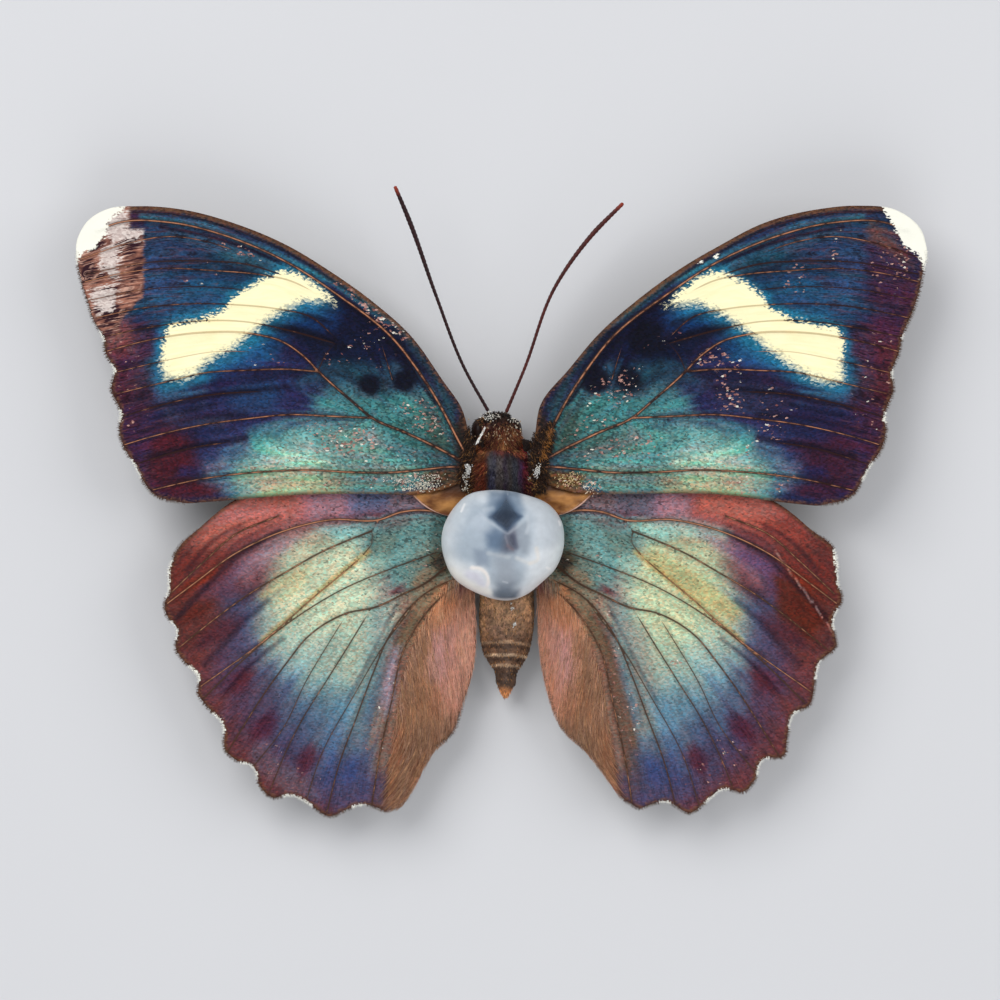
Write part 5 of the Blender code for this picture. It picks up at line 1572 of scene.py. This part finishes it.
antennae = {
    "antenna_left": {
        "path": [(-1.3, 8.35, 5.9), (-3.5, 12.3, 6.4), (-6.2, 19.2, 7), (-8.7, 26.2, 7.3), (-10, 29.3, 7.4)],
        "shaft": (52, 20, 22), "tipFrom": 28.4,
    },
    "antenna_right": {
        "path": [(0.4, 8.25, 5.9), (2.1, 12.3, 6.4), (5, 20, 7), (8.4, 24.8, 7.2), (11.3, 27.75, 7.3)],
        "shaft": (92, 34, 28), "tipFrom": 27.0,
    },
}
antennaForm = {"radii": [0.17, 0.15, 0.16, 0.24, 0.18], "step": 0.12, "sides": 10, "beads": 0.42}


def tubeMesh(name, path, radii, sides):
    along = unit(np.gradient(path, axis=0))
    sideways = np.cross(along[0], (0, 0, 1.0))
    sideways /= np.linalg.norm(sideways)
    places = []
    for point, forward, radius in zip(path, along, radii):
        sideways = sideways - (sideways @ forward) * forward
        sideways /= np.linalg.norm(sideways)
        upward = np.cross(sideways, forward)
        for turn in range(sides):
            angle = 2 * math.pi * turn / sides
            places.append(point + radius * (math.cos(angle) * sideways + math.sin(angle) * upward))
    count = len(path)
    places += [path[0] - along[0] * radii[0] * 0.4, path[-1] + along[-1] * radii[-1] * 0.6]
    triangles = []
    for ring in range(count - 1):
        for turn in range(sides):
            a = ring * sides + turn
            b = ring * sides + (turn + 1) % sides
            triangles += [(a, b + sides, b), (a, a + sides, b + sides)]
    for turn in range(sides):
        after = (turn + 1) % sides
        last = (count - 1) * sides
        triangles += [(count * sides, turn, after), (count * sides + 1, last + after, last + turn)]
    return makeMesh(name, np.array(places) * mm, triangles)


def antennaHorn(name, shaft, tipFrom):
    # dark horn, orange at the tip
    finish = Finish(name, Roughness=0.4, SpecularIORLevel=0.2)
    y = finish.parts(finish.place())[1]
    tip = finish.clamp((y - tipFrom) * 1.2)
    rings = finish.noise(finish.place(), 2.2, 2.0)
    finish.feed(BaseColor=finish.mix(tip, finish.mix(rings, (14, 7, 9), shaft), (140, 50, 32)))
    return finish


def makeAntennae():
    step = antennaForm["step"]
    for name, antenna in antennae.items():
        path = smoothLine(antenna["path"], step)
        share = np.linspace(0, 1, len(path))
        radii = np.interp(share, (0, 0.15, 0.5, 0.85, 1), antennaForm["radii"])
        beads = np.abs(np.sin(np.arange(len(path)) * step * math.pi / antennaForm["beads"]))
        radii = radii * (0.82 + 0.22 * beads)
        mesh = tubeMesh(name + "_surface", path, radii, antennaForm["sides"])
        finish = antennaHorn(name + "_horn", antenna["shaft"], antenna["tipFrom"])
        addPiece(name + "_dressed", mesh, [finish], [name])
    print("antennae made")


# Golden skin between the roots of the fore and hind wings, with a pale vein round its edge

rootSkin = {
    "outline": [(8.5, 0.6), (6.4, 1.05), (4.4, 1.5), (3.1, 1.7), (2.7, 0.4), (2.9, -1.1), (4.2, -1.45),
        (5.5, -1.35), (6.7, -0.8), (7.4, -0.3), (8.2, 0.2)],
    "vein": [(8.3, 0.45, 5.36), (7.4, -0.4, 5.34), (6.8, -0.8, 5.3), (5.4, -1.35, 5.24), (4, -1.6, 5.15)],
    "height": 5.2, "thickness": 0.08, "step": 0.22, "veinStep": 0.15, "veinRadius": 0.075, "veinSides": 8,
}


def goldenSkin():
    finish = Finish("golden_skin", Roughness=0.4, SpecularIORLevel=0.25)
    mix, clamp = finish.mix, finish.clamp
    y = finish.parts(finish.place())[1]
    crease = finish.noise(finish.scaled(finish.place(), (0.45, 0.8, 1.0)), 0.9, 3.0, 0.5)
    # the colour follows the creases, darker in them and lighter on their crests: painted shade and highlight
    colour = mix(clamp((crease - 0.36) * 3.2), (98, 56, 24), (196, 138, 78))
    # painted shadow over the part of the skin towards the head
    colour = mix(clamp(y * 1.6 - 0.6), colour, (70, 40, 20))
    colour = mix(clamp(1.4 - (y + 1.5) * 2.4), colour, (104, 56, 26))
    finish.feed(BaseColor=colour, Normal=finish.bump(crease, 0.0003, 0.9))
    return finish


def paleVein():
    finish = Finish("pale_vein", Roughness=0.35, SpecularIORLevel=0.3)
    grain = finish.noise(finish.place(), 3.0)
    finish.feed(BaseColor=finish.mix(grain, (150, 92, 70), (226, 190, 172)))
    return finish


def makeRootSkins():
    skinFinish = goldenSkin()
    veinFinish = paleVein()
    for side, sign in (("left", -1), ("right", 1)):
        loop = smoothLoop(rootSkin["outline"][::-1], rootSkin["step"])
        points = wingPoints(loop, [], rootSkin["step"], 0.15)[0]
        places, faces, rim = flatTriangles(points, len(loop), [])
        inward = ease(0, 0.8, lineDistance(places, closed(loop)))
        folds = softNoise(places[:, 0] * 0.6, places[:, 1] * 1.5, 61)
        z = rootSkin["height"] + 0.12 * inward + 0.14 * folds * inward + 0.02 * places[:, 0]
        half = rootSkin["thickness"] / 2
        top = columns(places[:, 0] * sign, places[:, 1], z + half)
        bottom = columns(places[:, 0] * sign, places[:, 1], z - half)
        count = len(places)
        triangles = np.vstack((faces, faces[:, ::-1] + count, rimWalls(rim, rim + count)))
        if sign < 0:
            triangles = triangles[:, ::-1]
        mesh = makeMesh("root_skin_" + side, np.vstack((top, bottom)) * mm, triangles)
        addPiece("root_skin_" + side, mesh, [skinFinish])
        path = smoothLine([(sign * a, b, c) for a, b, c in rootSkin["vein"]], rootSkin["veinStep"])
        radii = np.full(len(path), rootSkin["veinRadius"])
        vein = tubeMesh("root_vein_" + side, path, radii, rootSkin["veinSides"])
        addPiece("root_vein_" + side, vein, [veinFinish])
    print("root skins made")


# Dome

dome = {
    "levels": 3, "lump": 0.1, "rim": (224, 230, 235), "middle": (176, 188, 199), "under": (176, 186, 196),
    "outline": [(-0.9, 1.05), (1, 0.97), (2.7, 0.5), (4.3, -0.1), (5.5, -1.5), (5.9, -3.55), (5.1, -6.4),
        (3.9, -7.45), (1.85, -9.1), (0.6, -9.35), (-2.25, -8.7), (-4.7, -7.1), (-5.7, -3.95), (-4.8, -1),
        (-3.2, 0.7)],
    "diamond": [(0.4, 0.3), (1.6, -1.5), (0.5, -2.8), (-1, -1.6)],
    "clearSpot": (0.6, -4), "rearSpot": (0.4, -8.2),
}
domeRefractionsAndHighlights = [  # painted refraction of the body under the glass and painted highlights on it: colour, outline (x, y), feather, strength
    ((238, 242, 245), [(3.2, -4), (6, -4), (5.2, -6.4), (4.6, -7.4), (2.4, -8.4), (2.2, -5.4)], 1, 0.9),
    ((208, 214, 220), [(2.2, 0.5), (4, 0.2), (5.4, -1), (5.2, -4), (3, -4.4), (2.6, -1.4)], 0.9, 0.85),
    ((142, 155, 170), [(-2.2, -1.9), (-1, -2), (-0.4, -2.9), (-1.2, -3.4), (-2.2, -2.9)], 0.5, 0.7),
    ((250, 250, 249), [(-5.4, -5.4), (-4.4, -5.8), (-3, -6.2), (-1.8, -6.2), (-1.1, -8.8), (-3, -8.8),
        (-5.4, -6.8)], 0.8, 0.95),
    ((172, 184, 196), [(-2.9, -1), (-1.6, -0.4), (-1, -2.6), (-1.4, -5), (-2.4, -5.4), (-2.9, -3.6)], 0.8,
        0.8),
    ((122, 140, 160), [(-1.2, 0.9), (1.6, 0.9), (2, -0.9), (1.8, -1.6), (-1.2, -1.8), (-1.4, -0.6)], 0.5,
        0.85),
    ((150, 158, 168), [(-0.6, -5.2), (1.1, -5.2), (1.5, -7), (1.2, -9.2), (-0.4, -9.2), (-0.7, -7)], 0.8,
        0.85),
    ((118, 128, 142), [(-0.3, -7.8), (0.9, -7.8), (1.1, -9.3), (-0.4, -9.3)], 0.6, 0.7),
    ((80, 94, 110), [(-0.9, -8.5), (1.5, -8.5), (1.3, -9.3), (-0.7, -9.3)], 0.5, 0.8),
    ((94, 114, 138), [(-1.5, -3.2), (-0.6, -2.7), (0.3, -3), (0.3, -4.6), (-0.6, -4.7), (-1.4, -4.5)], 0.6,
        0.9),
    ((136, 149, 166), [(-2.6, -4.6), (-1.3, -4.6), (-1.2, -6.2), (-2.4, -6.2)], 0.4, 0.7),
    ((82, 82, 98), [(0.3, -3), (1.2, -2.5), (1.5, -3.2), (1.5, -4.2), (1.1, -4.8), (0.2, -4.7)], 0.5, 0.75),
    ((150, 158, 168), [(1.4, -2.4), (2.4, -2), (2.7, -4), (2.4, -5), (1.8, -5.3), (1.4, -4.6)], 0.4, 0.75),
    ((72, 92, 116), [(0.4, 0.6), (1, -0.3), (1.6, -1.4), (0.5, -1.9), (-1.1, -1.5), (-0.5, -0.3)], 0.45,
        0.9),
    ((50, 68, 92), [(1.9, -1.5), (1.3, -2.2), (0.5, -2.95), (-0.4, -2.3), (-1.2, -1.6), (-0.5, -1.1),
        (0.4, -0.9), (1.1, -1.1)], 0.22, 0.85),
    ((34, 48, 70), [(0.4, -0.7), (1, -1.5), (0.5, -2.6), (-0.5, -1.7)], 0.5, 0.8),
]
domeRefractionAndGlintStrokes = [  # painted refraction edges, painted rim highlights and painted glints: colour, path, half width, strength
    ((196, 202, 208), [(-1.6, -1.75), (-0.9, -2.25), (0.4, -3.1)], 0.12, 0.3),
    ((196, 202, 208), [(0.6, -3.1), (1.6, -2.35), (2.3, -1.6)], 0.12, 0.35),
    ((206, 212, 218), [(2.35, -1.5), (2.45, -2.4), (2.3, -3)], 0.16, 0.45),
    ((208, 214, 220), [(-1.6, -0.9), (-0.9, -0.8)], 0.2, 0.35),
    ((214, 214, 212), [(-1.3, -4.95), (-0.4, -5.1), (0.6, -5.3)], 0.16, 0.3),
    ((226, 224, 220), [(1.4, -5.4), (2.6, -5.9)], 0.18, 0.5),
    ((238, 232, 224), [(2.6, -5.9), (3.3, -5.6), (3.2, -4.5)], 0.16, 0.7),
    ((255, 246, 238), [(-2.8, -6.3), (-2, -6.4), (-1.4, -7), (-1.3, -7.7), (-1.6, -8.3)], 0.16, 0.9),
    ((222, 220, 232), [(-3, -7), (-2.2, -7.3), (-1.9, -8)], 0.4, 0.8),
    ((255, 253, 246), [(-4.7, -6.7), (-3.8, -7.5), (-2.4, -8.3), (-1.4, -8.6)], 0.36, 0.95),
    ((190, 180, 188), [(0.3, -3.4), (0.7, -4.6)], 0.1, 0.3),
    ((60, 62, 86), [(1, -3.4), (1.3, -4.4)], 0.2, 0.4),
    ((176, 184, 196), [(0.5, 1), (0.5, 0.5)], 0.06, 0.7),
    ((150, 112, 112), [(0.5, -4.2), (1, -4.6)], 0.1, 0.4),
    ((255, 255, 255), [(-3.5, -0.4), (-3.8, -1.05)], 0.09, 1),
    ((255, 255, 255), [(5.35, -2), (5.45, -2.3)], 0.1, 1),
    ((255, 255, 255), [(4.2, -6.3), (4.4, -6.4)], 0.12, 1),
    ((250, 252, 255), [(0.3, 1), (0.7, 0.98)], 0.06, 0.9),
    ((216, 220, 228), [(0.1, -7.6), (0.5, -7.7)], 0.07, 0.5),
]


def makeDome():
    mesh = refined("glass_dome", dome["levels"])
    places, normals = meshArrays(mesh)
    x, y = places[:, :2].T
    lumps = softNoise(x * 0.35, y * 0.35, 51, 2)
    places += normals * (dome["lump"] * lumps)[:, None]
    reshape(mesh, places)
    points = places[:, :2]
    inward = depthInside(points, smoothLoop(dome["outline"], 0.5))
    # the milky glass's colour: lighter at the rim as painted reflection, darker inwards where the body shows
    # through as painted refraction, then the painted refraction shapes, highlights and glints
    colours = plain(dome["rim"], len(points))
    wave = softNoise(x * 1.1, y * 1.1, 53)
    colours = brushed(colours, ease(0.2, 2.2, inward + 0.4 * wave), dome["middle"])
    for colour, area, feather, strength in domeRefractionsAndHighlights:
        inside = depthInside(points, area)
        colours = brushed(colours, strength * ease(-feather, feather, inside + 0.3 * feather * wave), colour)
    for colour, path, half, strength in domeRefractionAndGlintStrokes:
        gap = lineDistance(points, smoothLine(path, step=0.25))
        colours = brushed(colours, strength * ease(2 * half, 0.2 * half, gap + 0.3 * half * wave), colour)
    # a painted highlight along the dome's edge
    colours = brushed(colours, 0.6 * ease(0.26, 0.05, inward), (240, 241, 242))
    colours[normals[:, 2] < -0.4] = dome["under"]

    # how clear the glass is: most over the dark diamond, a little over two spots behind it
    clear = 0.1 + 0.4 * ease(-0.1, 0.3, depthInside(points, dome["diamond"]))
    clear += 0.25 * ease(1.4, 0.3, np.linalg.norm(points - np.array(dome["clearSpot"]), axis=1))
    clear += 0.1 * ease(1.6, 0.4, np.linalg.norm(points - np.array(dome["rearSpot"]), axis=1))
    addField(mesh, "paint", linear(colours))
    addField(mesh, "clear", columns(clear, clear, clear))
    addPiece("glass_dome_dressed", mesh, [milkyGlass()], ["glass_dome"])
    print("dome made")


def milkyGlass():
    # clear glass blended with a milky body, by the share stored in the mesh
    finish = Finish("milky_glass", TransmissionWeight=1.0, IOR=1.46, Roughness=0.1)
    finish.feed(BaseColor=(222, 232, 242))
    grain = finish.noise(finish.place(), 1.3, 3.0)
    veil = finish.dimmed(finish.field("paint"), 0.86 + grain * 0.16)
    milk = finish.wire("BsdfPrincipled", None, {
        "Base Color": veil, "Roughness": 0.3, "IOR": 1.46, "Specular IOR Level": 0.3, "Coat Weight": 0.1})
    share = finish.parts(finish.field("clear"))[0]
    milky = finish.clamp(1.0 - share + (grain - 0.5) * 0.1)
    glass = Wire(finish, finish.shader.outputs[0])
    blend = finish.wire("MixShader", None, {0: milky, 1: glass, 2: milk})
    finish.join(blend, finish.tree.nodes["Material Output"].inputs["Surface"])
    return finish


# Eyes, palps, tongue and legs: their CAD shape, made smooth

def eyeGloss():
    finish = Finish("eye_gloss", Roughness=0.35, SpecularIORLevel=0.12)
    inputs = {"Vector": finish.place(), "Scale": 14.0}
    facets = finish.wire("TexVoronoi", {"feature": "F1"}, inputs, "Distance")
    finish.feed(BaseColor=finish.mix(finish.noise(finish.place(), 1.5), (14, 8, 7), (40, 20, 12)))
    finish.feed(Normal=finish.bump(facets, 0.00002, 0.4))
    return finish


def legScales():
    finish = Finish("leg_scales", Roughness=0.45)
    grain = finish.noise(finish.place(), 5.0, 3.0)
    finish.feed(BaseColor=finish.mix(grain, (66, 46, 30), (146, 112, 76)))
    finish.feed(Normal=finish.bump(grain, 0.00005, 0.6))
    return finish


def tongueHorn():
    finish = Finish("tongue_horn", Roughness=0.3)
    grain = finish.noise(finish.place(), 6.0, 2.0)
    finish.feed(BaseColor=finish.mix(grain, (38, 20, 12), (92, 54, 28)))
    return finish


def dressSmallParts():
    looks = {"eye": (eyeGloss(), "eye"), "leg": (legScales(), "leg"), "proboscis": (tongueHorn(), "horn")}
    looks["palp"] = looks["leg"]
    for name in sorted(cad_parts):
        kind = "leg" if "leg" in name else name.split("_")[0]
        if kind in looks:
            finish, slot = looks[kind]
            mesh = refined(name, 2)
            places = meshArrays(mesh)[0]
            places[:, 2] = np.maximum(places[:, 2], 0.0)
            reshape(mesh, places)
            addPiece(name + "_dressed", mesh, [finish], [name])
    print("small parts dressed")


# Stage, light and camera

stage = {
    "floorSize": 1.2, "floorColour": (206, 206, 208), "skyColour": (236, 240, 246), "skyStrength": 0.47,
    "cameraHeight": 0.62, "frameWidth": 0.09379, "centreX": -0.00019, "wingHeight": 0.006, "sensor": 36.0,
    "lampSize": 0.5,
    "lamps": {  # place and power
        "key_light": ((-0.3, 0.34, 0.5), 3.0),
        "fill_light": ((0.5, 0.16, 0.44), 1.5),
        "low_light": ((0.05, -0.5, 0.4), 1.2),
    },
}


def makeFloor():
    half = stage["floorSize"] / 2
    corners = [(-half, -half, 0), (half, -half, 0), (half, half, 0), (-half, half, 0)]
    mesh = bpy.data.meshes.new("floor")
    mesh.from_pydata(corners, [], [(0, 1, 2, 3)])
    finish = Finish("pale_floor", Roughness=0.7, SpecularIORLevel=0.2)
    grain = finish.noise(finish.place(), 0.02, 2.0)
    finish.feed(BaseColor=finish.mix(grain * 0.1, stage["floorColour"], (230, 230, 230)))
    mesh.materials.append(finish.material)
    floor = bpy.data.objects.new("floor", mesh)
    bpy.context.scene.collection.objects.link(floor)
    floor.location.z = -0.00005


def makeLights():
    world = bpy.data.worlds.new("soft_sky")
    world.use_nodes = True
    sky = world.node_tree.nodes["Background"]
    sky.inputs["Color"].default_value = rgba(stage["skyColour"])
    sky.inputs["Strength"].default_value = stage["skyStrength"]
    bpy.context.scene.world = world

    for name, (location, power) in stage["lamps"].items():
        data = bpy.data.lights.new(name, "AREA")
        data.shape = "SQUARE"
        data.size = stage["lampSize"]
        data.energy = power
        lamp = bpy.data.objects.new(name, data)
        lamp.location = location
        lamp.rotation_euler = (Vector((0, 0, 0)) - Vector(location)).to_track_quat("-Z", "Y").to_euler()
        bpy.context.scene.collection.objects.link(lamp)


def makeCamera():
    data = bpy.data.cameras.new("camera")
    data.sensor_width = stage["sensor"]
    distance = stage["cameraHeight"] - stage["wingHeight"]
    data.lens = stage["sensor"] * distance / stage["frameWidth"]
    data.clip_start = 0.01
    camera = bpy.data.objects.new("camera", data)
    camera.location = (stage["centreX"], 0, stage["cameraHeight"])
    bpy.context.scene.collection.objects.link(camera)
    bpy.context.scene.camera = camera
    bpy.context.scene.view_settings.view_transform = "Standard"
    print("stage made")


makeFloor()
makeLights()
makeCamera()
makeWings()
chitin = chitinFinish()
fur = hairFinish("fur_hairs")
makeBody(chitin)
makeFur(fur)
makeFoldHairs(fur)
makeAntennae()
makeRootSkins()
makeDome()
dressSmallParts()
